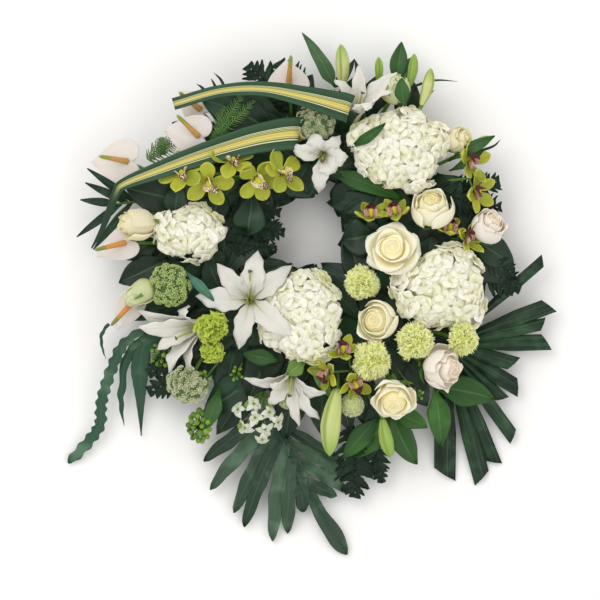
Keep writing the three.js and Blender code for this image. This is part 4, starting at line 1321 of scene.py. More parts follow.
def build_carnation(index, row):
    at, lean, width, height, turn, lime = row
    foot, axis = spot(at), facing(*lean)
    rng = np.random.default_rng(SEEDS["carnation"] + index)
    posy = Posy(f"carnation_head_{index}")
    r = width / 2
    ruffled = lime > 0.8
    look = "carnation_lime" if ruffled else "carnation"
    stock = sheet(14, 3)
    u, v = stock.u, stock.v
    count = int(14 + width * 0.35) if ruffled else int(34 + width * 0.9)
    heart = np.array((0, 0, height * 0.4))
    for i in range(count):
        z = 1 - (i + 0.5) / count * 1.15
        way = on_dome(z, i * GOLDEN_ANGLE)
        tip = heart + way * np.array((r, r, height * 0.6)) * rng.uniform(0.78, 1.14)
        out = unit(tip - heart)
        spin = unit(np.cross(out, rng.normal(size=3)))
        other = np.cross(out, spin)
        length = np.linalg.norm(tip - heart)
        fan = r * (rng.uniform(0.6, 0.85) if ruffled else rng.uniform(0.34, 0.5))
        fringe = 1 + (0.04 if ruffled else 0.1) * np.sin(u * 21 + i) * v ** 6
        ruffle = fan * 0.36 * np.sin(u * 7.5 + i * 1.7) * smooth(0.3, 1, v)
        spread = fan * 0.4 * smooth(0.5, 1, v) * (1 if i % 2 else -1)
        along = (0.3 + 0.7 * v) * fringe * length - fan * 0.3 * u ** 2 * v
        points = (heart + np.outer(along, out) + np.outer(u * fan * (0.25 + 0.75 * v), spin)
                  + np.outer(ruffle + spread, other))
        shade = float(np.clip(0.55 + rng.uniform(-0.4, 0.45), 0, 1))
        posy.leaf(stock, stood(points, foot, axis), look, shade)
    core = ball(14, 10)

    def inner(t, turned):
        round_it = 1 + 0.08 * np.sin(5 * turned + 9 * t)
        return r * 0.74 * np.sin(math.pi * t) ** 0.7 * round_it, height * (0.12 + 0.7 * t)

    posy.body(core, stood(head(core, inner), foot, axis), look, 0.2)
    cup = ball(12, 8)
    shape = lambda t, a: (r * 0.3 * np.interp(t, (0, 0.1, 0.6, 1), (0.5, 0.95, 1, 0.9)), height * 0.5 * t)
    posy.body(cup, stood(head(cup, shape), foot, axis), "calyx", 0.5)
    posy.plant(foot, axis, turn, 2, 3, 2.2, 2.6)
    posy.make("carnation", flowers().carnation_wall, [f"carnation_{index}"])


def add_umbels(posy, rng, centre, axis, radius, height, strewn, look):
    """A dome of small round heads, each one a tuft of seeds."""
    heads, seeds, size = strewn
    stock = bead()
    for i in range(heads):
        z = 1 - (i + 0.5) / heads * 1.05
        way = on_dome(z, i * GOLDEN_ANGLE + rng.uniform(-0.2, 0.2))
        place = way * (radius, radius, height) * rng.uniform(0.9, 1.06)
        spread = radius * 0.19
        shade = rng.uniform(0, 0.5)
        for k in range(seeds):
            side = math.sqrt((k + 0.5) / seeds)
            seat = (level(k * GOLDEN_ANGLE + i) * side + UP * (0.5 - 0.5 * side ** 2)) * spread
            there = stood(seat[None, :], place, way)[0]
            grain = stock.points * size / 2 * rng.uniform(0.7, 1.25)
            posy.body(stock, stood(grain + there, centre, axis), look, float(shade + rng.uniform(0, 0.5)))


def build_lace_flower(index, row):
    at, lean, width, height, turn, strewn, look = row
    foot, axis = spot(at), facing(*lean)
    rng = np.random.default_rng(SEEDS["lace"] + index)
    posy = Posy(f"lace_umbel_{index}")
    r = width / 2
    centre = foot + axis * height * 0.42
    add_umbels(posy, rng, centre, axis, r * 0.95, height * 0.56, strewn, look)
    core = ball(16, 8)
    dome = lambda t, a: (r * 0.86 * np.sin(math.pi * t) ** 0.6, height * (0.25 + 0.64 * t))
    posy.body(core, stood(head(core, dome), foot, axis), "lace_heart", 0.2)
    for k in range(12):
        side = stood(level(k * math.pi / 6)[None, :], (0, 0, 0), axis)[0]
        spoke = [foot, foot + axis * height * 0.2 + side * r * 0.5, centre + side * r * 0.8]
        posy.stem(spoke, 0.8, "stem", 0.6, 5, 5)
    posy.plant(foot, axis, turn, 0, 2, 2.0, 2.4)
    posy.make("lace", replaces=[f"lace_flower_{index}"])


def add_orchid(posy, floret, order, shy, grow=1.0):
    """One orchid floret: five cupped tepals, a folded lip and a column. A shy one is only half open."""
    x, y, z, azimuth, tilt, spin = floret
    heart, axis = np.array((x, y, z), float), facing(azimuth, tilt)
    rng = np.random.default_rng(int(abs(x) * 7 + abs(y)))
    matrix = turn_from_up(axis)
    stock = sheet(8, 12)
    reach = (27 if shy else 37) * grow
    for i in range(5):
        turn = math.radians(spin + 90 + i * 72 + rng.uniform(-12, 12))
        out = matrix @ level(turn)
        start = heart + out * 3 + axis
        swing = rng.uniform(10, 20) if shy else rng.uniform(0, 14)
        bend = heart + out * reach * 0.66 + axis * rng.uniform(3, 8)
        end = heart + out * reach * rng.uniform(0.8, 1.0) + axis * swing
        cup = rng.uniform(2.6, 5.5)

        def lift(u, v):
            return cup * u ** 2 * np.sin(math.pi * (0.15 + 0.75 * v)) - 0.9 * np.exp(-(u / 0.13) ** 2)

        half = rounded(((15 if shy else 24) - (2 if i % 3 else 0)) * grow, 0.42, 0.5, 0.8, 0.7)
        points = blade(stock, arc(start, bend, end), half, lift, np.cross(axis, out))
        shade = float(np.clip(0.2 + 0.3 * ((i + order) % 3) + rng.uniform(-0.25, 0.25), 0, 1))
        posy.leaf(stock, points, "orchid", shade)
    low = matrix @ level(math.radians(spin - 90))
    lip = sheet(8, 12)
    hood = 8.0 if shy else 7.0
    lift = lambda u, v: hood * u ** 2 * (1 - smooth(0.5, 0.8, v)) + 1.3 * np.sin(v * 12 + u * 3) * v
    half = lambda u, v: 8.8 * (0.8 + 0.3 * np.sin(v * 6.0 + 0.4)) * np.clip((1.04 - v) * 5, 0.2, 1)
    curve = arc(heart + axis * 3, heart + axis * 19 + low * 5, heart + axis * 13 + low * (13 if shy else 18))
    posy.leaf(lip, blade(lip, curve, half, lift, np.cross(axis, low)), "lip_dark" if shy else "lip", 0.0)
    column = ball(10, 10)
    curve = arc(heart + axis * 1, heart + axis * 11 - low * 2, heart + axis * 13 + low * 5)
    thick = lambda t, a: 3.4 * np.interp(t, (0, 0.2, 0.8, 1), (0.8, 0.9, 1, 0.5))
    posy.body(column, rod(column, curve, thick), "column", 0.6)


def build_orchid_spray(index, row):
    places, florets = row
    posy = Posy(f"orchid_blooms_{index}")
    line = through(places)
    samples = line(np.linspace(0, 1, 25))
    posy.stem(places, 2.6, "stem", 1.8, 12)
    for order, floret in enumerate(florets):
        heart = np.array(floret[:3], float)
        nearest = samples[np.argmin(np.linalg.norm(samples - heart, axis=1))]
        posy.stem([nearest, (nearest + heart) / 2 - (0, 0, 1), heart + facing(*floret[3:5]) * 2], 1.6, "stem")
        add_orchid(posy, floret, order, index > 1, 1.3 if index == 3 else 1.1 if index == 5 else 1.0)
    posy.make("orchid", flowers().orchid_wall, [f"orchid_spray_{index}"])


# === Leaves ===


def band(path, widths):
    """A strip's middle line, and its half width along it."""
    line = through(path)
    places = np.linspace(0, 1, 200)
    there = line(places)
    shares = [float(places[np.argmin(np.linalg.norm(there - spot(p), axis=1))]) for p in path]
    return line, lambda u, v: np.interp(v, shares, widths) / 2


def build_striped_leaf(index, row):
    posy = Posy(f"striped_blade_{index}")
    stock = sheet(12, 84)
    line, half = band(*row)
    lift = lambda u, v: 0.16 * half(u, v) * np.abs(u) * smooth(0.1, 0.4, v) + 0.5 * np.sin(v * 14 + u * 2) * u
    stripes = 1.0 if index == 1 else smooth(0.2, 0.34, stock.v)
    posy.leaf(stock, blade(stock, line, half, lift), "striped", stripes)
    if index == 1:
        stock = sheet(6, 20)
        line, half = band(*STRIPED_TURN)
        # the turned-down end is coloured deep green all over: painted shade
        posy.leaf(stock, blade(stock, line, half), "striped", 0.0)
    posy.make("striped", leaves().leaf_wall, [f"striped_leaf_{index}"])


def build_fan_palm():
    posy = Posy("fan_palm_blade")
    middle = spot(FAN_PALM["heart"])
    for i, (tip, width) in enumerate(FAN_PALM["fingers"]):
        end = spot(tip)
        way = unit(end - middle)
        start = middle + way * 2 + (0, 0, 1)
        arch = middle + (end - middle) * 0.4 + (0, 0, 4 + (i % 3))
        stock = sheet(8, 18)
        slant = (-1) ** i * 0.3
        curve = arc(start, arch, end - way * 2)

        def half(u, v, width=width):
            return width / 2 * np.maximum(0.14, np.minimum(0.16 + v * 1.1, 1.0 - 0.06 * v))

        lift = lambda u, v, width=width: -0.34 * width * np.abs(u) * (1 - 0.3 * v) + 0.5 * np.cos(u * 12.6)
        points = blade(stock, curve, half, lift)
        cut = smooth(0.86, 1.0, stock.v) * stock.u * slant * width
        posy.leaf(stock, points + np.outer(cut, way), "palm", 0.1 + 0.8 * ((i * 7) % 5) / 5)
    hub = ball(24, 10)
    disc = lambda t, a: (20 * np.sin(math.pi * t) ** 0.5, -2 + 4.5 * t + 0.6 * np.cos(11 * a))
    posy.body(hub, head(hub, disc) + middle, "palm", 0.4)
    petiole = [spot(p) for p in FAN_PALM["petiole"]]
    posy.stem([petiole[0], (petiole[0] + petiole[1]) / 2, petiole[1]], 3.0, "stem", 2.4)
    posy.make("green_leaf", leaves().leaf_wall, ["fan_palm_leaf"])


def build_lobed_leaf():
    posy = Posy("lobed_blade")
    spine = through(LOBED_LEAF["rib"])
    for i, (start_at, tip) in enumerate(LOBED_LEAF["lobes"]):
        start = spine(np.array((start_at,)))[0]
        end = spot(tip)
        left = i < LOBED_LEAF["left"]
        bend = start + (end - start) * 0.45 + np.cross(UP, end - start) * (-0.05 if left else 0.04)
        bend[2] = max(start[2], end[2]) + 3 + (i % 2) * 1.5
        stock = sheet(8, 22)
        outline = rounded(LOBED_LEAF["width"] * (1.0 if left else 0.8), 0.6, 0.5, 0.5, 0.8)
        half = lambda u, v, i=i: outline(u, v) * (1 + 0.1 * np.sin(v * 19 + i + np.sign(u)) * np.abs(u))
        lift = lambda u, v, i=i: -2.6 * (1 - np.abs(u)) + 1.4 * np.sin(v * 13 + i * 2) * u
        points = blade(stock, arc(start, bend, end), half, lift)
        posy.leaf(stock, points, "lobed", 0.1 + 0.8 * ((i * 5) % 7) / 7)
    stock = sheet(8, 34)
    lift = lambda u, v: -2.2 * (1 - np.abs(u)) + 1.0 * np.sin(v * 21) * u

    def broad(u, v):
        end = np.clip(1 - ((v - 0.82) / 0.18).clip(0, 1) ** 2.4, 0, 1) ** 0.62
        waves = 1 + 0.08 * np.sin(v * 23 + np.sign(u))
        return np.maximum((8.0 + 4.0 * smooth(0.6, 0.8, v)) * end, 1.0) * waves

    posy.leaf(stock, blade(stock, spine, broad, lift), "lobed", 0.45)
    posy.stem([spot(p) + (0, 0, 0.2) for p in LOBED_LEAF["rib"]], 0.9, "rib", 0.4, 16)
    petiole = LOBED_LEAF["petiole"]
    posy.stem(petiole, 2.6, "stem", 2.2)
    posy.make("green_leaf", leaves().leaf_wall, ["lobed_leaf"])


def build_strap_fern(index, row):
    path, width, wavy = row
    posy = Posy(f"strap_fern_blade_{index}")
    stock = sheet(10, 120)

    def half(u, v):
        if index == 1:
            end = np.clip(1 - ((v - 0.92) / 0.08).clip(0, 1) ** 2.4, 0, 1) ** 0.5
            base = width / 2 * np.minimum(0.25 + 2.5 * v, 1) * end
        else:
            base = width / 2 * np.minimum(0.3 + 2.4 * v, 1) * np.clip((1 - v) * 2.7, 0.04, 1)
        return np.maximum(base * (1 + 0.22 * wavy * np.sin(v * 105 + np.sign(u) * 1.2 + index)), 0.6)

    def lift(u, v):
        waves = 1.5 * wavy * np.sin(v * 60 + u * 2 + index) * np.abs(u) ** 1.5
        return -0.12 * width / 2 * (1 - np.abs(u)) + waves

    posy.leaf(stock, blade(stock, through(path), half, lift), "strap", 0.4)
    posy.make("blue_leaf", leaves().leaf_wall, [f"strap_fern_{index}"])


def build_palm_frond():
    posy = Posy("palm_frond_blades")
    path = PALM_FROND["path"]
    line = through(path)
    posy.stem(path, 2.4, "stem", 1.8, 12)
    for i, (start_at, tip) in enumerate(PALM_FROND["leaflets"]):
        start = line(np.array((start_at,)))[0]
        end = spot(tip)
        bend = (start + end) / 2 + (0, 0, 4)
        stock = sheet(4, 16)
        lift = lambda u, v: -1.6 * (1 - np.abs(u))
        points = blade(stock, arc(start, bend, end), pointed(12, 0.4, 0.35), lift)
        posy.leaf(stock, points, "palm", 0.1 + 0.15 * i)
    posy.make("dark_leaf", leaves().leaf_wall, ["palm_frond"])


def add_leaf(posy, foot, tip, width, arch, fold, look, tint, seed=0.0, belly=0.45):
    """A broad pointed leaf that arches from its foot to its tip and waves a little at its edges."""
    foot, tip = spot(foot), spot(tip)
    bend = (foot + tip) / 2 + np.cross(UP, tip - foot) * 0.09 * math.sin(seed * 2.3)
    bend[2] = max(foot[2], tip[2]) + arch
    stock = sheet(8, 14)
    outline = pointed(width, 0.12, belly, 0.5)

    def lift(u, v):
        wave = 0.05 * width * np.sin(v * 9 + np.sign(u) * 1.7 + seed)
        return fold * width / 2 * (1 - np.abs(u)) + wave * u ** 2

    half = lambda u, v: outline(u, v) * (1 + 0.03 * np.sin(v * 15 + seed + np.sign(u)))
    posy.leaf(stock, blade(stock, arc(foot, bend, tip), half, lift), look, tint)


def build_laurel_twig(index, row):
    (foot, fork), rows = row
    foot, fork = spot(foot), spot(fork)
    looks = {3: ("sage", "dark"), 4: ("laurel", "laurel")}.get(index, ("laurel",) * 3)
    posy = Posy(f"laurel_leaves_{index}")
    for i, (tip, width) in enumerate(rows):
        if index == 3:
            add_leaf(posy, fork, tip, width * 0.82, 5, -0.14, looks[i], 0.45, -index, 0.24)
        else:
            add_leaf(posy, fork, tip, width * 1.06, 5, -0.14, looks[i], 0.35 + 0.2 * i, index + i * 2)
    posy.stem([foot, (foot + fork) / 2, fork], 2.2, "stem", 1.6)
    posy.make("green_leaf" if index < 3 else "dark_leaf", leaves().leaf_wall, [f"laurel_twig_{index}"])


def build_ring_leaf(index, row):
    path, width, start_at = row
    posy = Posy(f"ring_leaf_blade_{index}")
    outline = pointed(width, 0.15, 0.45, 1.2)
    stock = sheet(10, 30)
    half = lambda u, v: np.where(v < start_at, 2.2, outline(u, (v - start_at) / (1 - start_at)))
    lift = lambda u, v: -0.16 * width / 2 * (1 - np.abs(u)) * (v > start_at) + 0.8 * np.sin(v * 16) * u ** 2
    posy.leaf(stock, blade(stock, through(path), half, lift), "dark", 0.45)
    posy.make("dark_leaf", leaves().leaf_wall, [f"ring_leaf_{index}"])


def add_frond(posy, foot, tip, width, pairs, look, tint, seed, slim=False):
    """A fern frond: a thin rib with rows of curved leaflets that shorten towards its tip."""
    foot, tip = spot(foot), spot(tip)
    rng = np.random.default_rng(SEEDS["frond"] + int(seed))
    middle = (foot + tip) / 2 + (0, 0, 5)
    rib = arc(foot, middle, tip)
    posy.stem([foot, (foot + middle * 2 + tip) / 4, tip], 0.9, look, 0.4, 6, 5)
    stock = sheet(2, 5) if slim else sheet(4, 9)
    length = np.linalg.norm(tip - foot)
    ahead = unit(tip - foot)
    aside = unit(np.cross(UP, ahead))
    for i in range(pairs):
        where = (i + 0.5) / pairs
        start = rib(np.array((where,)))[0]
        reach = width / 2 * math.sin(math.pi * (0.28 + 0.68 * where)) ** 0.8 * rng.uniform(0.85, 1.1)
        broad = length / pairs * (0.3 if slim else 0.68)
        for sign in (-1, 1):
            end = start + aside * sign * reach + ahead * reach * rng.uniform(0.35, 0.9)
            end = end - UP * rng.uniform(0, 8)
            bend = (start + end) / 2 + UP * rng.uniform(0, 4) - ahead * reach * 0.14
            notch = rng.uniform(0, 6)

            def half(u, v):
                teeth = 0.9 + 0.14 * np.sin(v * 22 + notch)
                return np.maximum(broad * (1 - v ** 1.8) ** 0.8 * teeth, 0.3)

            lift = lambda u, v: -0.3 * broad * (1 - np.abs(u))
            points = blade(stock, arc(start, bend, end), half, lift)
            posy.leaf(stock, points, look, tint + rng.uniform(0, 0.5))


def build_undergrowth():
    """Broad dark leaves that hide the foam between the flowers and round the hole."""
    rng = np.random.default_rng(SEEDS["undergrowth"])
    posy = Posy("under_leaves")
    hole = spot(HOLE["middle"] + (0,))
    reach = np.array(HOLE["half"])
    for i in range(UNDER_LEAVES["inwards"]):
        bearing = i * 2 * math.pi / UNDER_LEAVES["inwards"] + rng.uniform(-0.06, 0.06)
        way = level(bearing)
        foot = way * rng.uniform(124, 138) + UP * rng.uniform(50, 58)
        turned = bearing + rng.choice((-1, 1)) * rng.uniform(0.35, 0.8)
        edge = hole[:2] + np.array((math.cos(turned), math.sin(turned))) * reach * rng.uniform(1.02, 1.16)
        tip = np.array((edge[0], edge[1], rng.uniform(34, 50)))
        add_leaf(posy, foot, tip, rng.uniform(34, 48), 12, -0.12, "dark", rng.uniform(0.1, 0.8), i, 0.6)
    for i in range(UNDER_LEAVES["outwards"]):
        bearing = i * 2 * math.pi / UNDER_LEAVES["outwards"] + rng.uniform(-0.08, 0.08)
        way = level(bearing)
        foot = way * rng.uniform(138, 152) + UP * rng.uniform(50, 56)
        tip = way * rng.uniform(196, 222) + UP * rng.uniform(30, 50)
        tip = turn_about_up(rng.uniform(-0.3, 0.3)) @ tip
        add_leaf(posy, foot, tip, rng.uniform(34, 50), 12, -0.12, "dark", rng.uniform(0.1, 0.8), i)
    for i in range(UNDER_LEAVES["across"]):
        bearing = i * GOLDEN_ANGLE
        way = level(bearing)
        foot = way * rng.uniform(116, 164) + UP * rng.uniform(54, 60)
        heading = bearing + rng.uniform(0.9, 2.2) * rng.choice((-1, 1))
        along = level(heading)
        tip = foot + along * rng.uniform(50, 74) + UP * rng.uniform(-4, 6)
        add_leaf(posy, foot, tip, rng.uniform(30, 42), 9, -0.14, "dark", rng.uniform(0.1, 0.9), i)
    for i in range(UNDER_LEAVES["skirt"]):
        bearing = i * 2 * math.pi / UNDER_LEAVES["skirt"] + rng.uniform(-0.04, 0.04)
        way = level(bearing)
        foot = way * (FOAM["outer"] - rng.uniform(8, 18)) + UP * rng.uniform(48, 54)
        tip = way * (FOAM["outer"] + rng.uniform(20, 36)) + UP * rng.uniform(4, 16)
        tip = turn_about_up(rng.uniform(-0.16, 0.16)) @ tip
        add_leaf(posy, foot, tip, rng.uniform(34, 46), 6, -0.12, "dark", rng.uniform(0.1, 0.8), i)
    posy.make("dark_leaf", leaves().leaf_wall)


def build_filler_leaves():
    """The loose leaves that show between and around the flowers."""
    sets = [("broad_leaves", BROAD_LEAVES, "laurel", "green_leaf"),
            ("dark_leaves", DARK_LEAVES, "dark", "dark_leaf"),
            ("olive_leaves", OLIVE_LEAVES, "olive", "green_leaf"),
            ("teal_leaves", TEAL_LEAVES, "teal", "blue_leaf")]
    for name, rows, look, slot in sets:
        posy = Posy(name)
        for i, (foot, tip, width, arch, fold) in enumerate(rows):
            add_leaf(posy, foot, tip, width, arch, fold, look, 0.2 + 0.6 * ((i * 3) % 5) / 5, i)
        posy.make(slot, leaves().leaf_wall)
    posy = Posy("thin_leaves")
    for i, (places, width, wavy) in enumerate(THIN_LEAVES):
        stock = sheet(4, 24)
        outline = pointed(width, 0.9, 0.2, 0.3)
        half = lambda u, v: outline(u, v) * (1 + 0.25 * wavy * np.sin(v * 26 + np.sign(u)))
        posy.leaf(stock, blade(stock, through(places), half), "strap" if wavy else "dark", 0.3)
    posy.make("blue_leaf", leaves().frond_wall)


def build_fern_sprigs():
    posy = Posy("fern_fronds")
    for i, (foot, tip, width, pairs, shade) in enumerate(FERN_SPRIGS):
        add_frond(posy, foot, tip, width, pairs, "fern", shade, i)
    posy.make("dark_leaf", leaves().frond_wall)
    posy = Posy("feather_sprigs")
    for i, (foot, tip, width, pairs) in enumerate(FEATHER_SPRIGS):
        for turn in (-0.16, 0.1):
            reach = turn_about_up(turn) @ (spot(tip) - foot)
            add_frond(posy, foot, spot(foot) + reach, width, pairs, "sprig", 0.2, i + turn, True)
    posy.make("green_leaf", leaves().frond_wall)


def build_star_cluster():
    """White star florets on green stalks."""
    posy = Posy("star_florets")
    foot = spot(STAR_CLUSTER["foot"])
    stock = sheet(4, 8)
    for i, (x, y, z, azimuth, tilt) in enumerate(STAR_CLUSTER["stars"]):
        heart, axis = np.array((x, y, z), float), facing(azimuth, tilt)
        matrix = turn_from_up(axis)
        for k in range(6):
            turn = k * math.pi / 3 + i + 0.3 * math.sin(i * 3 + k * 2)
            out = matrix @ level(turn)
            reach = 12 + 3 * math.sin(i * 5 + k * 3)
            curve = arc(heart + out, heart + out * reach * 0.5 + axis * 5, heart + out * reach - axis * 3)
            posy.leaf(stock, blade(stock, curve, pointed(8.8, 0.5, 0.45, 0.3), None, np.cross(axis, out)),
                      "star", 0.3 + 0.5 * (k % 2))
        posy.stem([foot, (foot + heart) / 2 + (0, 0, 4), heart], 1.1, "calyx", 1.0)
    bud = ball(8, 8)
    shape = lambda t, a: (3.4 * np.sin(math.pi * t) ** 0.7, 13 * t)
    for place in STAR_CLUSTER["buds"]:
        posy.body(bud, stood(head(bud, shape), place, facing(250, 50)), "green_bud", 0.7)
    posy.make("lace", flowers().rose_wall)


def build_bud_clusters():
    """Small knots of green buds and pale lace."""
    for i, (middle, radius, height, count, length) in enumerate(BUD_CLUSTERS):
        centre = spot(middle)
        rng = np.random.default_rng(SEEDS["knot"] + i)
        posy = Posy(f"bud_knot_{i + 1}")
        pale = count > 50
        stock = bead() if pale else ball(8, 6)
        for k in range(count):
            z = 1 - (k + 0.5) / count * 1.1
            way = on_dome(z, k * GOLDEN_ANGLE)
            lean = unit(way + rng.normal(0, 0.4, 3))
            girth = length * (0.6 if pale else 0.8) / 2
            shape = stock.points * (girth, girth, length / 2) * rng.uniform(0.75, 1.15)
            place = centre + way * (radius[0], radius[1], height * 0.6)
            look = "lace_pale" if pale else "green_bud"
            posy.body(stock, stood(shape, place, lean), look, float(rng.uniform(0, 1)))
            if not pale:
                posy.stem([centre - (0, 0, 8), (place + centre) / 2, place], 1.0, "calyx", 0.9, 5, 5)
        if pale:
            core = ball(12, 8)
            swell = core.points * (radius[0] * 0.94, radius[1] * 0.94, height * 0.58)
            posy.body(core, stood(swell, centre, UP), "hydrangea_heart", 0.1)
        posy.plant(centre, UP, 0, 0, 0, 1.6, 1.4)
        posy.make("lace")


# === Ring, tray and stage ===

RING_STEPS = 96
WELD = MM * 0.01
SHARP_FROM = math.radians(40)
TRAY_EDGE = 0.8
# in metres: the floor's size and how far it lies under the tray, then the lamps as (name, place, size, power)
FLOOR_SIZE, FLOOR_DROP = 8, 0.0005
LAMPS = [("key_panel", (-1.3, 1.5, 2.6), 2.2, "key_light"),
         ("fill_panel", (1.8, -0.8, 2.6), 2.6, "fill_light")]
CAMERA_SPOT = (-0.0153, -0.0088)
SENSOR_WIDTH = 36
FAR_CLIP = 20


def spun(name, outline, look, replaces):
    """A ring that is spun from a closed outline of radii and heights."""
    bpy.ops.object.select_all(action="DESELECT")
    bpy.ops.mesh.primitive_circle_add(vertices=len(outline), radius=MM, location=(0, 0, 0))
    thing = bpy.context.object
    thing.name = name
    thing.data.name = name
    for vertex, (radius, height) in zip(thing.data.vertices, outline):
        vertex.co = (MIDDLE.x + radius * MM, MIDDLE.y, height * MM)
    bpy.ops.object.mode_set(mode="EDIT")
    bpy.ops.mesh.select_all(action="SELECT")
    bpy.ops.mesh.spin(steps=RING_STEPS, angle=2 * math.pi, center=(MIDDLE.x, MIDDLE.y, 0), axis=(0, 0, 1))
    bpy.ops.mesh.select_all(action="SELECT")
    bpy.ops.mesh.remove_doubles(threshold=WELD)
    bpy.ops.mesh.normals_make_consistent(inside=False)
    bpy.ops.object.mode_set(mode="OBJECT")
    thing.data.materials.append(finish(look))
    bpy.ops.object.shade_smooth_by_angle(angle=SHARP_FROM)
    ready(thing, replaces)


def corner(x, y, radius, start, steps=4):
    """A rounded corner of an outline, as a quarter turn from start degrees."""
    turns = [math.radians(start + 90 * i / steps) for i in range(steps + 1)]
    return [(x + radius * math.cos(a), y + radius * math.sin(a)) for a in turns]


def build_tray():
    wall, gap = ring().tray_wall / MM, TRAY["gap"]
    inner = ring().hole_radius / MM - gap - wall
    outer = FOAM["outer"] + gap + wall
    rim, edge = TRAY["rim"], TRAY_EDGE
    outline = (corner(outer - edge, edge, edge, 270) + corner(outer - edge, rim - edge, edge, 0)
               + corner(outer - wall + edge, rim - edge, edge, 90)
               + [(outer - wall, wall), (inner + wall, wall)]
               + corner(inner + wall - edge, rim - edge, edge, 0) + corner(inner + edge, rim - edge, edge, 90)
               + corner(inner + edge, edge, edge, 180))
    spun("moulded_tray", outline, "tray", ["ring_tray"])


def build_foam():
    round_off, inner = ring().foam_corner / MM, ring().hole_radius / MM
    outline = ([(inner, FOAM["base"]), (FOAM["outer"], FOAM["base"])]
               + corner(FOAM["outer"] - round_off, FOAM["top"] - round_off, round_off, 0, 6)
               + corner(inner + round_off, FOAM["top"] - round_off, round_off, 90, 6))
    spun("flower_foam", outline, "foam", ["foam_ring"])


def build_stage():
    """A pale floor, soft light and a camera that looks straight down."""
    bpy.ops.object.select_all(action="DESELECT")
    bpy.ops.mesh.primitive_plane_add(size=FLOOR_SIZE, location=(0, 0, -FLOOR_DROP))
    floor = bpy.context.object
    floor.name = "studio_floor"
    floor.data.materials.append(finish("floor"))
    sizes = bpy.context.scene.wreath_stage
    world = bpy.data.worlds.new("soft_room")
    bpy.context.scene.world = world
    world.use_nodes = True
    background = world.node_tree.nodes["Background"]
    background.inputs["Color"].default_value = (1.0, 0.995, 0.985, 1.0)
    background.inputs["Strength"].default_value = sizes.room_light
    for name, place, size, power in LAMPS:
        bpy.ops.object.light_add(type="AREA", location=place)
        lamp = bpy.context.object
        lamp.name = name
        lamp.data.shape = "SQUARE"
        lamp.data.size = size
        lamp.data.energy = getattr(sizes, power)
        aim = -spot(place)
        steep = math.acos(-aim[2] / np.linalg.norm(aim))
        lamp.rotation_euler = (steep, 0, math.atan2(aim[1], aim[0]) - math.pi / 2)
    bpy.ops.object.camera_add(location=(*CAMERA_SPOT, sizes.camera_height), rotation=(0, 0, 0))
    camera = bpy.context.object
    camera.name = "overhead_camera"
    camera.data.sensor_width = SENSOR_WIDTH
    camera.data.lens = SENSOR_WIDTH * (sizes.camera_height - sizes.look_height) / sizes.view_width
    camera.data.clip_end = FAR_CLIP
    bpy.context.scene.camera = camera
    bpy.context.scene.view_settings.view_transform = "Standard"


# === Sizes and colours that a user may change ===


def colour(name, description, code):
    """A colour that a user may change."""
    return FloatVectorProperty(name=name, description=description, default=tone(code), subtype="COLOR",
                               size=4, min=0.0, max=1.0)


def wall(name, description, thickness):
    """A thickness that a user may change."""
    return FloatProperty(name=name, description=description, default=thickness, unit="LENGTH", min=0.0002,
                         max=0.003, precision=5)


class WreathFlowers(PropertyGroup):
    """Petal thicknesses and colours."""

    lily_wall: wall("Lily petal", "Thickness of a lily petal", 0.001)
    rose_wall: wall("Rose petal", "Thickness of a rose petal", 0.0005)
    hydrangea_wall: wall("Hydrangea petal", "Thickness of a hydrangea petal", 0.0003)
    carnation_wall: wall("Carnation petal", "Thickness of a carnation petal", 0.0004)
    orchid_wall: wall("Orchid petal", "Thickness of an orchid petal", 0.0011)
    spathe_wall: wall("Waxy heart", "Thickness of an anthurium's heart", 0.0013)
    lily: colour("Lily", "White of the lilies", "DCD9CF")
    rose_heart: colour("Rose heart", "Warm cream inside the roses", "F0E29E")
    rose: colour("Rose", "Cream of the outer rose petals", "F1EDD4")
    rose_blush: colour("Blush rose", "Outer petals of the blush roses", "EFE7DB")
    rose_green: colour("Green rosebud", "Outer petals of the closed roses", "C9CE94")
    rose_cream: colour("Cream rose", "Outer petals of the rose at the left", "E4D8B2")
    hydrangea: colour("Hydrangea", "White of the open hydrangea florets", "F1ECDE")
    # the deep colour of the florets in the hollows: their greener tone and painted shade
    hydrangea_green: colour("Hydrangea shade", "Green of the deeper hydrangea florets", "DDDFA6")
    carnation: colour("Carnation", "Pale yellow green of the carnations", "EEF09C")
    carnation_lime: colour("Lime carnation", "Lime green of the small carnations", "B8CC44")
    orchid: colour("Orchid", "Yellow green of the orchids", "BCBE38")
    orchid_lip: colour("Orchid lip", "Dark red marks on the orchid lips", "501424")
    spathe: colour("Anthurium", "Waxy white of the anthurium hearts", "DAD2CB")
    spadix_gold: colour("Gold spadix", "Foot of the upper spadices", "C6944C")
    spadix_orange: colour("Orange spadix", "Foot of the lower spadices", "DB924A")
    bud_ripe: colour("Ripe lily bud", "Cream of the ripe lily buds", "D6D79C")
    bud_green: colour("Green lily bud", "Green of the young lily buds", "9ABA50")
    lace_green: colour("Green lace", "Green lace umbel", "B8C880")
    lace_pale: colour("Pale lace", "Pale lace umbels", "DADCBA")
    star: colour("Star floret", "White of the star florets", "E2E2D4")


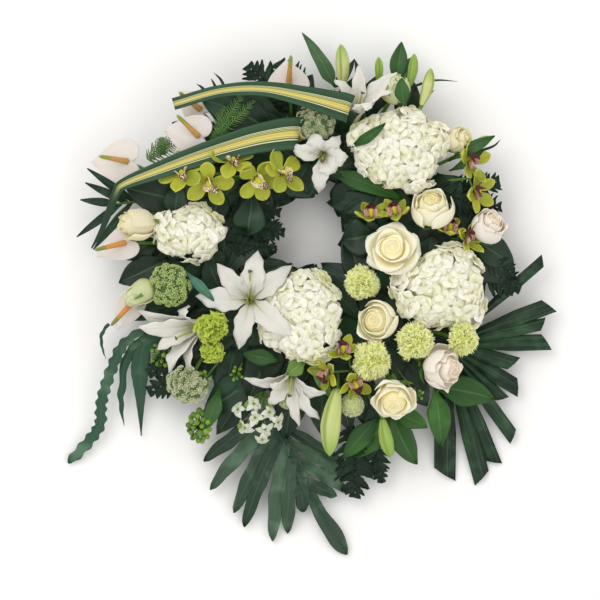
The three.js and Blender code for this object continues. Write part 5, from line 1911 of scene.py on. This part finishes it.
class WreathLeaves(PropertyGroup):
    """Leaf thicknesses and colours."""

    leaf_wall: wall("Leaf", "Thickness of the leaves", 0.0009)
    frond_wall: wall("Frond", "Thickness of the fronds", 0.0006)
    dark: colour("Dark leaves", "Lit green of the dark leaves", "2C5033")
    laurel: colour("Laurel", "Lit green of the broad laurel leaves", "3F7A1E")
    sage: colour("Sage leaf", "Grey green of the upper long leaf", "64865C")
    olive: colour("Olive leaf", "Yellow green leaves", "8FAF58")
    teal: colour("Teal leaf", "Blue green leaf", "5A8A74")
    fern: colour("Fern", "Lit green of the ferns", "2A4C2E")
    sprig: colour("Feather sprig", "Lit green of the feathery sprigs", "86A65A")
    palm: colour("Palm", "Lit green of the palm leaves", "3A5E3E")
    lobed: colour("Lobed leaf", "Lit green of the lobed leaf", "5E7E62")
    strap: colour("Strap ferns", "Lit blue green of the strap ferns", "6A8D70")
    stripe_edge: colour("Stripe edge", "Green bands of the striped leaves", "294C2F")
    stripe_middle: colour("Stripe middle", "Yellow middle of the striped leaves", "D4C66C")
    stem: colour("Stems", "Lit green of the stems", "7C9A48")


class WreathRing(PropertyGroup):
    """The foam ring and its tray."""

    hole_radius: FloatProperty(
        name="Hole radius", description="Radius of the hole in the foam", default=0.102, unit="LENGTH")
    foam_corner: FloatProperty(
        name="Foam corner", description="Rounding of the foam's upper edges", default=0.013, unit="LENGTH")
    tray_wall: wall("Tray wall", "Thickness of the tray", 0.0018)
    foam: colour("Foam", "Green of the wet foam", "2C5A38")
    tray: colour("Tray", "Green of the tray's plastic", "12241A")


class WreathStage(PropertyGroup):
    """Floor, light and camera."""

    floor: colour("Floor", "Near white of the floor", "F8F7F6")
    room_light: FloatProperty(name="Room light", description="Strength of the even light", default=0.88)
    key_light: FloatProperty(
        name="Key light", description="Power of the upper left panel", default=36.0, unit="POWER")
    fill_light: FloatProperty(
        name="Fill light", description="Power of the right panel", default=15.0, unit="POWER")
    camera_height: FloatProperty(
        name="Camera height", description="Height of the camera over the floor", default=12.0, unit="LENGTH")
    look_height: FloatProperty(
        name="Sharp height", description="Height that the view is set for", default=0.09, unit="LENGTH")
    view_width: FloatProperty(
        name="View width", description="Width that is seen at that height", default=0.84, unit="LENGTH")


GROUPS = {"wreath_flowers": WreathFlowers, "wreath_leaves": WreathLeaves, "wreath_ring": WreathRing,
          "wreath_stage": WreathStage}


# === Operators ===


def numbered(rows, build):
    """Makes one piece for each row, numbered from one."""
    for index, row in enumerate(rows, 1):
        build(index, row)
    return {"FINISHED"}


def once(build):
    """Makes one piece."""
    build()
    return {"FINISHED"}


class WREATH_OT_tray(Operator):
    """Spins the moulded tray"""

    bl_idname = "wreath.tray"
    bl_label = "Tray"

    def execute(self, context):
        return once(build_tray)


class WREATH_OT_foam(Operator):
    """Spins the wet foam ring"""

    bl_idname = "wreath.foam"
    bl_label = "Foam ring"

    def execute(self, context):
        return once(build_foam)


class WREATH_OT_undergrowth(Operator):
    """Lays the dark leaves over the foam"""

    bl_idname = "wreath.undergrowth"
    bl_label = "Undergrowth"

    def execute(self, context):
        return once(build_undergrowth)


class WREATH_OT_filler_leaves(Operator):
    """Adds the loose leaves round the flowers"""

    bl_idname = "wreath.filler_leaves"
    bl_label = "Loose leaves"

    def execute(self, context):
        return once(build_filler_leaves)


class WREATH_OT_fern_sprigs(Operator):
    """Adds the fern sprigs"""

    bl_idname = "wreath.fern_sprigs"
    bl_label = "Fern sprigs"

    def execute(self, context):
        return once(build_fern_sprigs)


class WREATH_OT_rose_behind(Operator):
    """Adds the rose behind the upper hydrangea"""

    bl_idname = "wreath.rose_behind"
    bl_label = "Rose behind"

    def execute(self, context):
        return once(build_spare_rose)


class WREATH_OT_star_florets(Operator):
    """Adds the white star florets"""

    bl_idname = "wreath.star_florets"
    bl_label = "Star florets"

    def execute(self, context):
        return once(build_star_cluster)


class WREATH_OT_bud_knots(Operator):
    """Adds the small knots of buds"""

    bl_idname = "wreath.bud_knots"
    bl_label = "Bud knots"

    def execute(self, context):
        return once(build_bud_clusters)


class WREATH_OT_striped_leaves(Operator):
    """Bends the striped strap leaves"""

    bl_idname = "wreath.striped_leaves"
    bl_label = "Striped leaves"

    def execute(self, context):
        return numbered(STRIPED_LEAVES, build_striped_leaf)


class WREATH_OT_fan_palm(Operator):
    """Folds the fan palm leaf"""

    bl_idname = "wreath.fan_palm"
    bl_label = "Fan palm"

    def execute(self, context):
        return once(build_fan_palm)


class WREATH_OT_lobed_leaf(Operator):
    """Shapes the deeply lobed leaf"""

    bl_idname = "wreath.lobed_leaf"
    bl_label = "Lobed leaf"

    def execute(self, context):
        return once(build_lobed_leaf)


class WREATH_OT_strap_ferns(Operator):
    """Bends the waved strap ferns"""

    bl_idname = "wreath.strap_ferns"
    bl_label = "Strap ferns"

    def execute(self, context):
        return numbered(STRAP_FERNS, build_strap_fern)


class WREATH_OT_palm_frond(Operator):
    """Shapes the narrow palm frond"""

    bl_idname = "wreath.palm_frond"
    bl_label = "Palm frond"

    def execute(self, context):
        return once(build_palm_frond)


class WREATH_OT_laurel_twigs(Operator):
    """Shapes the broad leaved twigs"""

    bl_idname = "wreath.laurel_twigs"
    bl_label = "Laurel twigs"

    def execute(self, context):
        return numbered(LAUREL_TWIGS, build_laurel_twig)


class WREATH_OT_ring_leaves(Operator):
    """Bends the leaves beside the hole"""

    bl_idname = "wreath.ring_leaves"
    bl_label = "Ring leaves"

    def execute(self, context):
        return numbered(RING_LEAVES, build_ring_leaf)


class WREATH_OT_anthuriums(Operator):
    """Shapes the waxy hearts and their spadices"""

    bl_idname = "wreath.anthuriums"
    bl_label = "Anthuriums"

    def execute(self, context):
        return numbered(ANTHURIUMS, build_anthurium)


class WREATH_OT_lilies(Operator):
    """Shapes the open lilies"""

    bl_idname = "wreath.lilies"
    bl_label = "Lilies"

    def execute(self, context):
        return numbered(LILIES, build_lily)


class WREATH_OT_lily_buds(Operator):
    """Shapes the closed lily buds"""

    bl_idname = "wreath.lily_buds"
    bl_label = "Lily buds"

    def execute(self, context):
        return numbered(LILY_BUDS, build_lily_bud)


class WREATH_OT_roses(Operator):
    """Winds the roses petal by petal"""

    bl_idname = "wreath.roses"
    bl_label = "Roses"

    def execute(self, context):
        return numbered(ROSES, build_rose)


class WREATH_OT_hydrangeas(Operator):
    """Fills the hydrangea heads with florets"""

    bl_idname = "wreath.hydrangeas"
    bl_label = "Hydrangeas"

    def execute(self, context):
        return numbered(HYDRANGEAS, build_hydrangea)


class WREATH_OT_carnations(Operator):
    """Ruffles the carnations"""

    bl_idname = "wreath.carnations"
    bl_label = "Carnations"

    def execute(self, context):
        return numbered(CARNATIONS, build_carnation)


class WREATH_OT_lace_flowers(Operator):
    """Strews the lace umbels"""

    bl_idname = "wreath.lace_flowers"
    bl_label = "Lace flowers"

    def execute(self, context):
        return numbered(LACE_FLOWERS, build_lace_flower)


class WREATH_OT_orchids(Operator):
    """Shapes the orchid sprays"""

    bl_idname = "wreath.orchids"
    bl_label = "Orchids"

    def execute(self, context):
        return numbered(ORCHID_SPRAYS, build_orchid_spray)


class WREATH_OT_stage(Operator):
    """Sets the floor, the light and the camera"""

    bl_idname = "wreath.stage"
    bl_label = "Stage"

    def execute(self, context):
        return once(build_stage)


OPERATORS = (WREATH_OT_tray, WREATH_OT_foam, WREATH_OT_undergrowth, WREATH_OT_filler_leaves,
             WREATH_OT_fern_sprigs, WREATH_OT_rose_behind, WREATH_OT_star_florets, WREATH_OT_bud_knots,
             WREATH_OT_striped_leaves, WREATH_OT_fan_palm, WREATH_OT_lobed_leaf, WREATH_OT_strap_ferns,
             WREATH_OT_palm_frond, WREATH_OT_laurel_twigs, WREATH_OT_ring_leaves, WREATH_OT_anthuriums,
             WREATH_OT_lilies, WREATH_OT_lily_buds, WREATH_OT_roses, WREATH_OT_hydrangeas,
             WREATH_OT_carnations, WREATH_OT_lace_flowers, WREATH_OT_orchids, WREATH_OT_stage)


class WREATH_PT_panel(Panel):
    """Lists the sizes, the colours and the pieces"""

    bl_idname = "WREATH_PT_panel"
    bl_label = "Funeral wreath"
    bl_space_type = "VIEW_3D"
    bl_region_type = "UI"
    bl_category = "Wreath"

    def draw(self, context):
        for name, group in GROUPS.items():
            for key in group.__annotations__:
                self.layout.prop(getattr(context.scene, name), key)
        for kind in OPERATORS:
            self.layout.operator(kind.bl_idname)


CLASSES = tuple(GROUPS.values()) + OPERATORS + (WREATH_PT_panel,)


def register():
    for kind in CLASSES:
        bpy.utils.register_class(kind)
    for name, group in GROUPS.items():
        setattr(bpy.types.Scene, name, PointerProperty(type=group))


def unregister():
    for name in GROUPS:
        delattr(bpy.types.Scene, name)
    for kind in reversed(CLASSES):
        bpy.utils.unregister_class(kind)


def main():
    """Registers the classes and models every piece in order."""
    register()
    for kind in OPERATORS:
        getattr(bpy.ops.wreath, kind.bl_idname.split(".")[1])()


if __name__ == "__main__":
    main()
